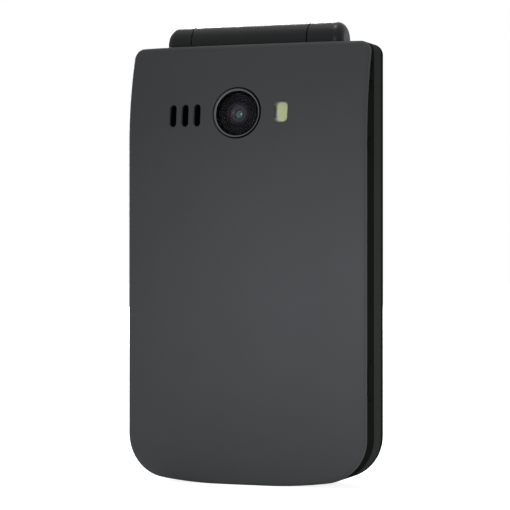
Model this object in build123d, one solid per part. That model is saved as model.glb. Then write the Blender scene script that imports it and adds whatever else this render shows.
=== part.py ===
"""Clamshell telephone, closed and standing on its lower edge.

X runs across the phone, with the socket side at +X. Y runs through it, from the
battery cover (-Y) to the outside of the lid (+Y). Z runs up to the hinge. The origin
is below the middle of the bounding box, on the surface that the phone stands on.
"""

from math import asin, cos, degrees, radians, sin, sqrt
import os

from build123d import *

# ---------------------------------------------------------------- outline of both halves
BODY_WIDTH = 57.5
BODY_HEIGHT = 100.0
QUARTER_TURN = 90
FOOT_HALF_WIDTH = 6.0          # flat stretch of the lower edge, each side of the middle
LOWER_EDGE_RADIUS = 100.0
LOWER_CORNER_RADIUS = 10.0
UPPER_CORNER_RADIUS = 2.5
SIDE_WALL = 1.6                # side wall of the keypad half
LID_WALL = 1.2                 # side wall of the lid

# ---------------------------------------------------------------- back of the keypad half
CROWN_RADIUS = 400.0
SHOULDER_WIDTH = 9.75
CROWN_HALF_WIDTH = BODY_WIDTH / 2 - SHOULDER_WIDTH
SHOULDER_RADIUS = 60.0
LEAN_RADIUS = 66.0             # the back bends forward towards the hinge
LEAN_LENGTH = 22.5             # height of the leaning stretch
LEAN_START_HEIGHT = BODY_HEIGHT - LEAN_LENGTH
COVER_EDGE_ROUND = 1.2
COVER_WALL = 0.9
COVER_RIM_WALL = 1.0
COVER_RIM_DEPTH = 1.3          # the parting line lies this far in from the back
COVER_CLEARANCE = 0.15
COVER_SEAM = 0.15              # between the rim of the cover and the side band
SNAP_LIP_THICKNESS = 0.6
SNAP_LIP_DEPTH = 1.0
SNAP_LIP_BOTTOM = 31.0
SNAP_LIP_TOP_FROM_TOP = 42.0
SNAP_LIP_TOP = BODY_HEIGHT - SNAP_LIP_TOP_FROM_TOP

# ---------------------------------------------------------------- layers, back to front
BATTERY_THICKNESS = 4.35
BATTERY_LEFT_MARGIN = 4.15
BATTERY_RIGHT_MARGIN = 11.35    # leaves room for the charging socket
BATTERY_BOTTOM = 8.6
UPPER_BAY = 41.4               # height left for the camera, the speaker and the sockets
BATTERY_HEIGHT = BODY_HEIGHT - UPPER_BAY - BATTERY_BOTTOM
LAYER_GAP = 0.05
TRAY_FLOOR = 0.5
BOARD_THICKNESS = 0.7
DOME_SHEET_THICKNESS = 0.15
KEY_TRAVEL = 0.25
KEY_FLANGE = 0.25
KEY_FLANGE_LIP = 0.35
BEZEL_THICKNESS = 0.8
BEZEL_INSET = 1.0
KEY_PROUD = 0.2
LID_GAP = 0.4
LID_PLATE = 1.2
MAIN_DISPLAY_THICKNESS = 2.4
CHASSIS_THICKNESS = 0.8
CHASSIS_RAIL = 0.95
OUTER_DISPLAY_THICKNESS = 1.7
OUTER_WALL = 1.7
LID_FRAME_DEPTH = 4.9
LID_CROWN_RADIUS = 500.0
LID_EDGE_ROUND = 2.0
LID_POCKET_STEP = 2.0

BASE_THICKNESS = (
    COVER_WALL + COVER_CLEARANCE + BATTERY_THICKNESS + LAYER_GAP + TRAY_FLOOR + LAYER_GAP
    + BOARD_THICKNESS + DOME_SHEET_THICKNESS + LAYER_GAP + KEY_TRAVEL + KEY_FLANGE
    + LAYER_GAP + BEZEL_THICKNESS
)
LID_THICKNESS = (
    LID_PLATE + LAYER_GAP + MAIN_DISPLAY_THICKNESS + LAYER_GAP + CHASSIS_THICKNESS
    + CHASSIS_RAIL + OUTER_DISPLAY_THICKNESS + LAYER_GAP + OUTER_WALL
)
THICKNESS = BASE_THICKNESS + LID_GAP + LID_THICKNESS
HALF_WIDTH = BODY_WIDTH / 2
BATTERY_X = (BATTERY_LEFT_MARGIN - HALF_WIDTH, HALF_WIDTH - BATTERY_RIGHT_MARGIN)
BATTERY_WIDTH = BATTERY_X[1] - BATTERY_X[0]
BATTERY_CENTRE_X = (BATTERY_X[0] + BATTERY_X[1]) / 2

BACK_Y = -THICKNESS / 2
BASE_FRONT_Y = BACK_Y + BASE_THICKNESS
LID_INNER_Y = BASE_FRONT_Y + LID_GAP
LID_OUTER_Y = LID_INNER_Y + LID_THICKNESS
LID_PARTING_Y = LID_INNER_Y + LID_FRAME_DEPTH
BEZEL_BACK_Y = BASE_FRONT_Y - BEZEL_THICKNESS
FLANGE_FRONT_Y = BEZEL_BACK_Y - LAYER_GAP
FLANGE_BACK_Y = FLANGE_FRONT_Y - KEY_FLANGE
DOME_FRONT_Y = FLANGE_BACK_Y - KEY_TRAVEL - LAYER_GAP
BOARD_FRONT_Y = DOME_FRONT_Y - DOME_SHEET_THICKNESS
BOARD_BACK_Y = BOARD_FRONT_Y - BOARD_THICKNESS
FLOOR_FRONT_Y = BOARD_BACK_Y - LAYER_GAP
FLOOR_BACK_Y = FLOOR_FRONT_Y - TRAY_FLOOR
BATTERY_FRONT_Y = FLOOR_BACK_Y - LAYER_GAP

# ---------------------------------------------------------------- hinge
BARREL_RADIUS = 4.3
HINGE_RISE = 0.7               # axis above the top of the two halves
HINGE_FORWARD = 2.75           # axis in front of the keypad face
BARREL_END_MARGIN = 7.25        # from each side of the body
BARREL_HALF_LENGTH = HALF_WIDTH - BARREL_END_MARGIN
LEFT_KNUCKLE_LENGTH = 6.5
RIGHT_KNUCKLE_LENGTH = 8.3
LEFT_SEAM_X = LEFT_KNUCKLE_LENGTH - BARREL_HALF_LENGTH
RIGHT_SEAM_X = BARREL_HALF_LENGTH - RIGHT_KNUCKLE_LENGTH
SEAM_GAP = 0.3
HINGE_CLEARANCE = 0.3
SADDLE_WALL = 0.8
END_CAP_LENGTH = 2.6
END_CAP_ROUND = 2.3
CARTRIDGE_RADIUS = 3.2
CARTRIDGE_BORE = 2.7
CARTRIDGE_LENGTH = 17.0
CAM_LENGTH = 2.4
FOLLOWER_LENGTH = 2.5
HINGE_SHAFT_RADIUS = 1.2
HINGE_KEY_RADIUS = 1.7
HINGE_KEY_LENGTH = 5.0
STUB_RADIUS = 2.2
STUB_BORE = 1.5
STUB_REACH = 4.0
RUNNING_CLEARANCE = 0.05
SPRING_WIRE_RADIUS = 0.3
SPRING_COIL_RADIUS = 2.2
SPRING_TURNS = 7
FLEX_RADIUS = 0.9
FLEX_THICKNESS = 0.3

HINGE_Y = BASE_FRONT_Y + HINGE_FORWARD
HINGE_Z = BODY_HEIGHT + HINGE_RISE
NOTCH_RADIUS = BARREL_RADIUS + HINGE_CLEARANCE
SADDLE_RADIUS = NOTCH_RADIUS + SADDLE_WALL
BARREL_LEFT_X = LEFT_SEAM_X + SEAM_GAP / 2
BARREL_RIGHT_X = RIGHT_SEAM_X - SEAM_GAP / 2
KNUCKLE_END_X = BARREL_HALF_LENGTH - END_CAP_LENGTH

# ---------------------------------------------------------------- back openings
CAMERA_X = -1.3
CAMERA_FROM_TOP = 15.8
CAMERA_Z = BODY_HEIGHT - CAMERA_FROM_TOP
CAMERA_RING_RADIUS = 5.65
CAMERA_WINDOW_RADIUS = 5.05
CAMERA_HOLE_CLEARANCE = 0.25
CAMERA_RING_DEPTH = 1.4
CAMERA_RING_SINK = 0.25        # ring below the crown of the cover
CAMERA_LEDGE = 0.5
CAMERA_WINDOW_THICKNESS = 0.7
CAMERA_BARREL_RADIUS = 3.1
CAMERA_BARREL_LENGTH = 1.8
CAMERA_BODY_SIZE = 8.5
CAMERA_BODY_THICKNESS = 1.7
SLOT_FROM_TOP = 16.2
SLOT_Z = BODY_HEIGHT - SLOT_FROM_TOP
SLOT_WIDTH = 1.7
SLOT_PITCH = 3.0
SLOT_HEIGHT = 5.1
FLASH_X = 9.3
FLASH_FROM_TOP = 15.8
FLASH_Z = BODY_HEIGHT - FLASH_FROM_TOP
FLASH_WIDTH = 3.1
FLASH_HEIGHT = 4.8
FLASH_CORNER = 1.0
SMALL_CORNER = 1.0             # boxes of bought-in parts and the outer view
CARD_CORNER = 0.5
FLASH_LED_SIZE = 2.4
MESH_WIDTH = 9.4
MESH_HEIGHT = 7.0
MESH_THICKNESS = 0.25
HOUSING_WALL = 0.8
HOUSING_BOTTOM_FROM_TOP = 38.0
HOUSING_BOTTOM = BODY_HEIGHT - HOUSING_BOTTOM_FROM_TOP
HOUSING_TOP_FROM_TOP = 7.4
HOUSING_TOP = BODY_HEIGHT - HOUSING_TOP_FROM_TOP
SPEAKER_HEIGHT = 10.0
SPEAKER_THICKNESS = 2.5

# ---------------------------------------------------------------- side openings
JACK_FROM_TOP = 23.4
JACK_Z = BODY_HEIGHT - JACK_FROM_TOP
JACK_FROM_FRONT = 3.1
JACK_BORE_RADIUS = 1.8
JACK_BODY_LENGTH = 12.0
JACK_BODY_HEIGHT = 5.2
JACK_BODY_DEPTH = 4.4
JACK_BORE_DEPTH = 11.0
USB_Z = 23.8
USB_FROM_FRONT = 3.2
USB_SHELL_HEIGHT = 8.94
USB_SHELL_DEPTH = 3.26
USB_SHELL_LENGTH = 7.3
USB_SHELL_WALL = 0.3
USB_TONGUE_HEIGHT = 6.6
USB_TONGUE_DEPTH = 0.7
USB_TONGUE_LENGTH = 4.8
USB_OPENING_MARGIN = 0.15
UPPER_EYELET_FROM_TOP = 5.8
LOWER_EYELET_FROM_TOP = 9.9
EYELET_Z = (BODY_HEIGHT - UPPER_EYELET_FROM_TOP, BODY_HEIGHT - LOWER_EYELET_FROM_TOP)
EYELET_FROM_FRONT = 1.8
EYELET_WIDTH = 2.2
EYELET_HEIGHT = 2.1
EYELET_TUNNEL = 2.0
STRAP_BAR = 1.4
STRAP_BOSS_WALL = 0.9
ROCKER_FROM_TOP = 24.7
ROCKER_Z = BODY_HEIGHT - ROCKER_FROM_TOP
ROCKER_FROM_FRONT = 2.8
ROCKER_LENGTH = 14.0
ROCKER_WIDTH = 2.6
ROCKER_CLEARANCE = 0.25
ROCKER_FLANGE = 0.5
ROCKER_FLANGE_LIP = 0.5
ROCKER_PIVOT_RADIUS = 0.45     # ridge along Y on which the rocker tips

# ---------------------------------------------------------------- small inner pieces
FIT_GAP = 0.1
MOTOR_RADIUS = 1.8
MOTOR_LENGTH = 9.0
MOTOR_SHAFT_RADIUS = 0.4
WEIGHT_LENGTH = 2.5
WEIGHT_GAP = 0.5
MOTOR_FROM_SIDE = 19.75
MOTOR_X = HALF_WIDTH - MOTOR_FROM_SIDE
MOTOR_FROM_TOP = 33.4
MOTOR_Z = BODY_HEIGHT - MOTOR_FROM_TOP
SHIELD_WIDTH = 24.0
SHIELD_HEIGHT = 13.0
SHIELD_THICKNESS = 1.9
SHIELD_FROM_TOP = 30.0
SHIELD_Z = BODY_HEIGHT - SHIELD_FROM_TOP
SHIELD_SKIN = 0.2
SIM_WIDTH = 16.0
SIM_HEIGHT = 18.0
SIM_FROM_TOP = 56.0
SIM_Z = BODY_HEIGHT - SIM_FROM_TOP
MEMORY_WIDTH = 13.0
MEMORY_HEIGHT = 15.0
CARD_SOCKET_THICKNESS = 0.5
CONTACT_COUNT = 3
CONTACT_PITCH = 2.6
CONTACT_WIDTH = 1.2
CONTACT_REACH = 2.4
MICROPHONE_WIDTH = 3.4
MICROPHONE_HEIGHT = 2.4
MICROPHONE_THICKNESS = 0.55
MICROPHONE_Z = 7.6
MICROPHONE_HOLE_RADIUS = 0.5
SCREW_HEAD_RADIUS = 1.1
SCREW_HEAD_DEPTH = 0.4
SCREW_SHANK_RADIUS = 0.6
SCREW_LENGTH = 2.6
BOSS_SIZE = 3.8
BOSS_FROM_SIDE = 4.15
SPEAKER_BOSS_GAP = 1.2
SPEAKER_CAMERA_GAP = 0.95
LOWER_BOSS_FROM_TOP = 34.7
LOWER_BOSS_Z = BODY_HEIGHT - LOWER_BOSS_FROM_TOP
UPPER_BOSS_FROM_TOP = 14.7
UPPER_BOSS_Z = BODY_HEIGHT - UPPER_BOSS_FROM_TOP
RIB_WALL = 0.8

BOSS_X = HALF_WIDTH - BOSS_FROM_SIDE
SPEAKER_X = (
    BOSS_SIZE / 2 + SPEAKER_BOSS_GAP - BOSS_X,
    CAMERA_X - CAMERA_BODY_SIZE / 2 - SPEAKER_CAMERA_GAP,
)
SPEAKER_CENTRE_X = (SPEAKER_X[0] + SPEAKER_X[1]) / 2
SLOT_X = [SPEAKER_CENTRE_X + step * SLOT_PITCH for step in (-1, 0, 1)]
SHIELD_X = SPEAKER_X[0] + SHIELD_WIDTH / 2
SIM_X = BATTERY_CENTRE_X - BATTERY_WIDTH / 4
MEMORY_X = BATTERY_CENTRE_X + BATTERY_WIDTH / 5

# ---------------------------------------------------------------- keys
KEY_CLEARANCE = 0.15
KEY_MARGIN = 3.0               # from the side of the body to the outer keys
KEY_SPACING = 1.6
NUMBER_COLUMN_PITCH = (BODY_WIDTH - 2 * KEY_MARGIN + KEY_SPACING) / 3
NUMBER_KEY_WIDTH = NUMBER_COLUMN_PITCH - KEY_SPACING
NUMBER_TOP_ROW_FROM_TOP = 50.0
NUMBER_TOP_ROW_Z = BODY_HEIGHT - NUMBER_TOP_ROW_FROM_TOP
NUMBER_LAST_ROW_Z = 17.0
NUMBER_ROW_PITCH = (NUMBER_TOP_ROW_Z - NUMBER_LAST_ROW_Z) / 3      # four rows
NUMBER_KEY_HEIGHT = NUMBER_ROW_PITCH - KEY_SPACING
NUMBER_KEY_CORNER = 1.8
NUMBER_KEYS = (
    ("key_1", "key_2", "key_3"),
    ("key_4", "key_5", "key_6"),
    ("key_7", "key_8", "key_9"),
    ("key_star", "key_0", "key_hash"),
)
NAV_FROM_TOP = 24.5
NAV_Z = BODY_HEIGHT - NAV_FROM_TOP
NAV_RADIUS = 10.5
NAV_BORE = 5.5
NAV_SPACING = 2.85
OK_CLEARANCE = 0.4
OK_RADIUS = NAV_BORE - OK_CLEARANCE
SIDE_KEY_WIDTH = HALF_WIDTH - KEY_MARGIN - NAV_RADIUS - NAV_SPACING
SIDE_KEY_X = HALF_WIDTH - KEY_MARGIN - SIDE_KEY_WIDTH / 2
SOFT_KEY_FROM_TOP = 16.0
SOFT_KEY_Z = BODY_HEIGHT - SOFT_KEY_FROM_TOP
SOFT_KEY_HEIGHT = 7.0
CALL_KEY_FROM_TOP = 30.8
CALL_KEY_Z = BODY_HEIGHT - CALL_KEY_FROM_TOP
CALL_KEY_HEIGHT = 8.4
CLEAR_KEY_FROM_TOP = 40.1
CLEAR_KEY_Z = BODY_HEIGHT - CLEAR_KEY_FROM_TOP
CLEAR_KEY_WIDTH = 14.0
CLEAR_KEY_HEIGHT = 6.0

# ---------------------------------------------------------------- lid contents
MAIN_WINDOW_MARGIN = 4.75
MAIN_WINDOW_WIDTH = BODY_WIDTH - 2 * MAIN_WINDOW_MARGIN
MAIN_WINDOW_BOTTOM = 19.0
MAIN_WINDOW_FROM_TOP = 13.0
MAIN_WINDOW_HEIGHT = BODY_HEIGHT - MAIN_WINDOW_BOTTOM - MAIN_WINDOW_FROM_TOP
MAIN_WINDOW_Z = MAIN_WINDOW_BOTTOM + MAIN_WINDOW_HEIGHT / 2
MAIN_WINDOW_THICKNESS = 0.8
MAIN_WINDOW_CORNER = 2.5
MAIN_PRINT_BORDER = 2.4
MAIN_VIEW_WIDTH = MAIN_WINDOW_WIDTH - 2 * MAIN_PRINT_BORDER
MAIN_PRINT_END = 5.2           # black border above and below the clear part
MAIN_VIEW_HEIGHT = MAIN_WINDOW_HEIGHT - 2 * MAIN_PRINT_END
MAIN_DISPLAY_MARGIN = 3.75
MAIN_DISPLAY_WIDTH = BODY_WIDTH - 2 * MAIN_DISPLAY_MARGIN
MAIN_DISPLAY_HEIGHT = MAIN_WINDOW_HEIGHT
CHASSIS_SIDE_GAP = 1.55
CHASSIS_WIDTH = BODY_WIDTH - 2 * (LID_WALL + CHASSIS_SIDE_GAP)
CHASSIS_END_MARGIN = 3.0
CHASSIS_HEIGHT = MAIN_DISPLAY_HEIGHT + 2 * CHASSIS_END_MARGIN
OUTER_WINDOW_MARGIN = 7.25
OUTER_WINDOW_WIDTH = BODY_WIDTH - 2 * OUTER_WINDOW_MARGIN
OUTER_WINDOW_HEIGHT = 40.0
OUTER_WINDOW_FROM_TOP = 32.0
OUTER_WINDOW_Z = BODY_HEIGHT - OUTER_WINDOW_FROM_TOP
OUTER_WINDOW_DEPTH = 1.15
OUTER_WINDOW_CORNER = 5.0
OUTER_GLUE_SIDE = 4.5          # window past the display, at each side
OUTER_GLUE_END = 4.0           # and above and below
OUTER_FRAME = 2.5              # display past the clear part, all round
OUTER_DISPLAY_WIDTH = OUTER_WINDOW_WIDTH - 2 * OUTER_GLUE_SIDE
OUTER_DISPLAY_HEIGHT = OUTER_WINDOW_HEIGHT - 2 * OUTER_GLUE_END
OUTER_VIEW_WIDTH = OUTER_DISPLAY_WIDTH - 2 * OUTER_FRAME
OUTER_VIEW_HEIGHT = OUTER_DISPLAY_HEIGHT - 2 * OUTER_FRAME
RAIL_WIDTH = 1.5
EARPIECE_WIDTH = 13.0
EARPIECE_HEIGHT = 5.0
EARPIECE_THICKNESS = 2.2
EARPIECE_Z = 10.5
EARPIECE_SLOT_WIDTH = 9.0
EARPIECE_SLOT_HEIGHT = 1.2
BUMPER_RADIUS = 1.6
BUMPER_SEAT = 0.5
BUMPER_PROUD = 0.3
BUMPER_FROM_SIDE = 6.25
BUMPER_X = HALF_WIDTH - BUMPER_FROM_SIDE
BUMPER_LOW_Z = 8.5
BUMPER_HIGH_FROM_TOP = 7.0
BUMPER_HIGH_Z = BODY_HEIGHT - BUMPER_HIGH_FROM_TOP
LID_SCREW_RADIUS = 0.8
LID_SCREW_HEAD_RADIUS = 1.4
LID_SCREW_HEAD_DEPTH = 0.4
LID_SCREW_LENGTH = 5.0
LID_BOSS_RADIUS = 1.9


# ================================================================ helpers
def block(x_span, y_span, z_span):
    """Box from its low and high coordinate on each axis."""
    size = [high - low for low, high in (x_span, y_span, z_span)]
    middle = [(high + low) / 2 for low, high in (x_span, y_span, z_span)]
    return Pos(*middle) * Box(*size)


def centred(middle, size):
    """Span of a size about its middle."""
    return (middle - size / 2, middle + size / 2)


def rod_x(radius, x_span, y, z):
    """Cylinder that lies along X."""
    low, high = x_span
    return Pos((low + high) / 2, y, z) * Rot(0, 90, 0) * Cylinder(radius, high - low)


def rod_y(radius, x, z, y_span):
    """Cylinder that lies along Y."""
    low, high = y_span
    return Pos(x, (low + high) / 2, z) * Rot(90, 0, 0) * Cylinder(radius, high - low)


def plate(sketch, y_span):
    """Prism of a sketch drawn with X to the right and Z up."""
    low, high = y_span
    return extrude(Plane.XZ.offset(-low) * sketch, amount=-(high - low))


def rounded(x, z, width, height, corner):
    """Rounded rectangle for plate()."""
    return Pos(x, z) * RectangleRounded(width, height, corner)


def outline(inset=0.0):
    """Front outline shared by the two halves, drawn inset by a wall."""
    half = HALF_WIDTH - inset
    top = BODY_HEIGHT - inset
    corner_radius = LOWER_CORNER_RADIUS - inset
    top_radius = max(UPPER_CORNER_RADIUS - inset, 0.5)
    edge_radius = LOWER_EDGE_RADIUS - inset
    rise = half - corner_radius - FOOT_HALF_WIDTH
    turn = degrees(asin(rise / (edge_radius - corner_radius)))
    with BuildSketch() as sketch:
        with BuildLine():
            foot = Line((0, inset), (FOOT_HALF_WIDTH, inset))
            sole = JernArc(start=foot @ 1, tangent=foot % 1, radius=edge_radius, arc_size=turn)
            corner = JernArc(
                start=sole @ 1, tangent=sole % 1, radius=corner_radius, arc_size=QUARTER_TURN - turn
            )
            side = Line(corner @ 1, (half, top - top_radius))
            shoulder = JernArc(start=side @ 1, tangent=(0, 1), radius=top_radius, arc_size=QUARTER_TURN)
            Line(shoulder @ 1, (0, top))
            mirror(about=Plane.YZ)
        make_face()
    return sketch.sketch


def cross_section(back_y, front_y, crown_radius, crown_half, shoulder_radius):
    """Slice through a half, seen from above, with its curved face at back_y."""
    crown_turn = degrees(asin(crown_half / crown_radius))
    reach = HALF_WIDTH + 1 - crown_half
    shoulder_turn = degrees(asin(reach / shoulder_radius + sin(radians(crown_turn)))) - crown_turn
    with BuildSketch() as sketch:
        with BuildLine():
            crown = JernArc(start=(0, back_y), tangent=(1, 0), radius=crown_radius, arc_size=crown_turn)
            shoulder = JernArc(
                start=crown @ 1, tangent=crown % 1, radius=shoulder_radius, arc_size=shoulder_turn
            )
            side = Line(shoulder @ 1, ((shoulder @ 1).X, front_y))
            Line(side @ 1, (0, front_y))
            mirror(about=Plane.YZ)
        make_face()
    return sketch.sketch


def back_form(inward):
    """Everything in front of the curved back, with the back moved inward."""
    front_y = BASE_FRONT_Y + 3
    section = cross_section(
        BACK_Y + inward, front_y, CROWN_RADIUS, CROWN_HALF_WIDTH, SHOULDER_RADIUS
    )
    straight = Pos(0, 0, -1) * extrude(section, amount=LEAN_START_HEIGHT + 1)
    lean_axis = Axis((0, BACK_Y + LEAN_RADIUS, LEAN_START_HEIGHT), (-1, 0, 0))
    inner_radius = BACK_Y + LEAN_RADIUS - front_y
    lean_turn = degrees(asin((BODY_HEIGHT + 2 - LEAN_START_HEIGHT) / inner_radius))
    leaning = revolve(Pos(0, 0, LEAN_START_HEIGHT) * section, lean_axis, lean_turn)
    return straight + leaning


def back_depth(z):
    """How far the middle of the back has bent forward at a height."""
    rise = max(z - LEAN_START_HEIGHT, 0)
    return LEAN_RADIUS - sqrt(LEAN_RADIUS**2 - rise**2)


def back_place(x, z):
    """Location on the middle of the back, with local Z pointing out of it."""
    lean = asin(max(z - LEAN_START_HEIGHT, 0) / LEAN_RADIUS)
    frame = Plane(
        origin=(x, BACK_Y + back_depth(z) + x**2 / (2 * CROWN_RADIUS), z),
        x_dir=(1, 0, 0),
        z_dir=(0, -cos(lean), sin(lean)),
    )
    return frame.location


def rim_edges(solid, facing):
    """Edges between the faces that look along Y one way and the side faces."""
    curved = [f for f in solid.faces() if f.normal_at().Y * facing > 0.5]
    sides = [f for f in solid.faces() if abs(f.normal_at().Y) < 0.3]
    side_edges = [e for f in sides for e in f.edges()]
    return [e for f in curved for e in f.edges() if any(e.is_same(s) for s in side_edges)]


# ================================================================ shared forms
def keypad_half_envelope():
    """Outer shape of the keypad half without its hinge."""
    raw = plate(outline(), (BACK_Y - 1, BASE_FRONT_Y)) & back_form(0)
    return fillet(rim_edges(raw, -1), COVER_EDGE_ROUND)


def lid_envelope():
    """Outer shape of the lid without its hinge."""
    section = mirror(
        cross_section(
            -LID_OUTER_Y, -LID_INNER_Y, LID_CROWN_RADIUS, CROWN_HALF_WIDTH, LID_CROWN_RADIUS
        ),
        about=Plane.XZ,
    )
    crowned = Pos(0, 0, -1) * extrude(section, amount=BODY_HEIGHT + 2)
    raw = plate(outline(), (LID_INNER_Y, LID_OUTER_Y + 1)) & crowned
    return fillet(rim_edges(raw, 1), LID_EDGE_ROUND)


KEYPAD_HALF = keypad_half_envelope()
LID_HALF = lid_envelope()
COVER_PARTING = back_form(COVER_RIM_DEPTH)
BAND_PARTING = back_form(COVER_RIM_DEPTH + COVER_SEAM)
SADDLE_X = (-BARREL_HALF_LENGTH - SADDLE_WALL, BARREL_HALF_LENGTH + SADDLE_WALL)
SADDLE_CLEAR_X = (SADDLE_X[0] - FIT_GAP, SADDLE_X[1] + FIT_GAP)
SADDLE_CLEAR = rod_x(SADDLE_RADIUS + FIT_GAP, SADDLE_CLEAR_X, HINGE_Y, HINGE_Z)
JACK_Y = BASE_FRONT_Y - JACK_FROM_FRONT
USB_Y = BASE_FRONT_Y - USB_FROM_FRONT
EYELET_Y = BASE_FRONT_Y - EYELET_FROM_FRONT
ROCKER_Y = BASE_FRONT_Y - ROCKER_FROM_FRONT
INNER_X = HALF_WIDTH - SIDE_WALL
BAY_X = centred(BATTERY_CENTRE_X, BATTERY_WIDTH + 2 * FIT_GAP)
BAY_Z = (BATTERY_BOTTOM - FIT_GAP, BATTERY_BOTTOM + BATTERY_HEIGHT + FIT_GAP)
CONTACT_HEIGHT_Y = centred(BATTERY_FRONT_Y - BATTERY_THICKNESS / 2, CONTACT_WIDTH)
INSIDE_COVER = COVER_WALL + COVER_CLEARANCE
HOUSING_INNER = INSIDE_COVER + HOUSING_WALL
BOSS_PLACES = [(x, z) for x in (-BOSS_X, BOSS_X) for z in (LOWER_BOSS_Z, UPPER_BOSS_Z)]
BUMPER_PLACES = [(x, z) for x in (-BUMPER_X, BUMPER_X) for z in (BUMPER_LOW_Z, BUMPER_HIGH_Z)]


def key_layout():
    """Place and size of every oblong key; the first column reads from +X."""
    keys = {}
    for row, names in enumerate(NUMBER_KEYS):
        for column, name in enumerate(names):
            x = (1 - column) * NUMBER_COLUMN_PITCH
            z = NUMBER_TOP_ROW_Z - row * NUMBER_ROW_PITCH
            keys[name] = (x, z, NUMBER_KEY_WIDTH, NUMBER_KEY_HEIGHT)
    keys["key_soft_left"] = (SIDE_KEY_X, SOFT_KEY_Z, SIDE_KEY_WIDTH, SOFT_KEY_HEIGHT)
    keys["key_soft_right"] = (-SIDE_KEY_X, SOFT_KEY_Z, SIDE_KEY_WIDTH, SOFT_KEY_HEIGHT)
    keys["key_call"] = (SIDE_KEY_X, CALL_KEY_Z, SIDE_KEY_WIDTH, CALL_KEY_HEIGHT)
    keys["key_end"] = (-SIDE_KEY_X, CALL_KEY_Z, SIDE_KEY_WIDTH, CALL_KEY_HEIGHT)
    keys["key_clear"] = (0, CLEAR_KEY_Z, CLEAR_KEY_WIDTH, CLEAR_KEY_HEIGHT)
    return keys


def key_face(place, growth=0.0):
    """Face of one rectangular key, grown on every side."""
    x, z, width, height = place
    return rounded(x, z, width + 2 * growth, height + 2 * growth, NUMBER_KEY_CORNER + growth)


# ================================================================ keypad half: case
def base_frame():
    """Side band, battery tray, screw bosses and the two outer hinge knuckles."""
    ring = (KEYPAD_HALF & BAND_PARTING) - plate(outline(SIDE_WALL), (BACK_Y - 1, BEZEL_BACK_Y))
    ring -= plate(outline(BEZEL_INSET), (BEZEL_BACK_Y, BASE_FRONT_Y + 1))
    inner = plate(outline(SIDE_WALL - FIT_GAP), (BACK_Y, BASE_FRONT_Y)) & back_form(INSIDE_COVER)
    tray_top = BAY_Z[1] + RIB_WALL
    bay_y = (BATTERY_FRONT_Y - BATTERY_THICKNESS, FLOOR_BACK_Y)
    tray = block((-HALF_WIDTH, HALF_WIDTH), (FLOOR_BACK_Y, FLOOR_FRONT_Y), (0, tray_top))
    tray += block((-HALF_WIDTH, HALF_WIDTH), bay_y, (BAY_Z[1], tray_top))
    for rib_x in ((BAY_X[0] - RIB_WALL, BAY_X[0]), (BAY_X[1], BAY_X[1] + RIB_WALL)):
        tray += block(rib_x, bay_y, (0, tray_top))
    tray -= usb_space()
    tray -= card_socket_space()
    tray -= contact_space()
    tray -= block(BAY_X, bay_y, BAY_Z)
    saddle = rod_x(SADDLE_RADIUS, SADDLE_X, HINGE_Y, HINGE_Z)
    frame = ring + (inner & tray) + (inner & saddle)
    for x, z in BOSS_PLACES:
        frame += screw_boss(x, z)
    frame += strap_boss()
    frame -= rod_x(NOTCH_RADIUS, (LEFT_SEAM_X, RIGHT_SEAM_X), HINGE_Y, HINGE_Z)
    frame += rod_x(BARREL_RADIUS, (-KNUCKLE_END_X, LEFT_SEAM_X - SEAM_GAP / 2), HINGE_Y, HINGE_Z)
    frame += rod_x(BARREL_RADIUS, (RIGHT_SEAM_X + SEAM_GAP / 2, KNUCKLE_END_X), HINGE_Y, HINGE_Z)
    frame -= rod_x(BARREL_RADIUS, (-BARREL_HALF_LENGTH, -KNUCKLE_END_X), HINGE_Y, HINGE_Z)
    frame -= rod_x(BARREL_RADIUS, (KNUCKLE_END_X, BARREL_HALF_LENGTH), HINGE_Y, HINGE_Z)
    key_end = BARREL_RIGHT_X + HINGE_KEY_LENGTH
    frame -= rod_x(HINGE_KEY_RADIUS, (BARREL_RIGHT_X, key_end), HINGE_Y, HINGE_Z)
    frame -= rod_x(STUB_RADIUS, (-KNUCKLE_END_X, LEFT_SEAM_X), HINGE_Y, HINGE_Z)
    frame -= rod_x(JACK_BORE_RADIUS, (INNER_X - 1, HALF_WIDTH + 1), JACK_Y, JACK_Z)
    frame -= usb_space()
    frame -= rocker_space()
    return frame - strap_tunnel()


def usb_face(growth):
    """Flat oval of the charging socket, grown on every side."""
    depth = USB_SHELL_DEPTH + 2 * growth
    return RectangleRounded(USB_SHELL_HEIGHT + 2 * growth, depth, depth / 2 - LAYER_GAP / 5)


def usb_space():
    """Way through the side wall and tray for the charging socket."""
    height = USB_SHELL_HEIGHT + 2 * USB_OPENING_MARGIN
    depth = USB_SHELL_DEPTH + 2 * USB_OPENING_MARGIN
    way = Pos(INNER_X - 1, USB_Y, USB_Z) * Rot(0, 90, 0) * extrude(
        usb_face(USB_OPENING_MARGIN), amount=SIDE_WALL + 2
    )
    inside_x = (HALF_WIDTH - SIDE_WALL - USB_SHELL_LENGTH - FIT_GAP, INNER_X)
    return way + block(inside_x, centred(USB_Y, depth), centred(USB_Z, height))


def jack_space():
    """Room for the body of the headphone socket."""
    x_span = (INNER_X - JACK_BODY_LENGTH - 2 * FIT_GAP, INNER_X)
    depth = JACK_BODY_DEPTH + 2 * FIT_GAP
    return block(x_span, centred(JACK_Y, depth), centred(JACK_Z, JACK_BODY_HEIGHT + 2 * FIT_GAP))


def card_socket_space():
    """Windows in the tray floor for the two card sockets."""
    y_span = (FLOOR_BACK_Y - 1, FLOOR_FRONT_Y + 1)
    sim = block(
        centred(SIM_X, SIM_WIDTH + 2 * FIT_GAP), y_span, centred(SIM_Z, SIM_HEIGHT + 2 * FIT_GAP)
    )
    memory = block(
        centred(MEMORY_X, MEMORY_WIDTH + 2 * FIT_GAP),
        y_span,
        centred(SIM_Z, MEMORY_HEIGHT + 2 * FIT_GAP),
    )
    return sim + memory


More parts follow.
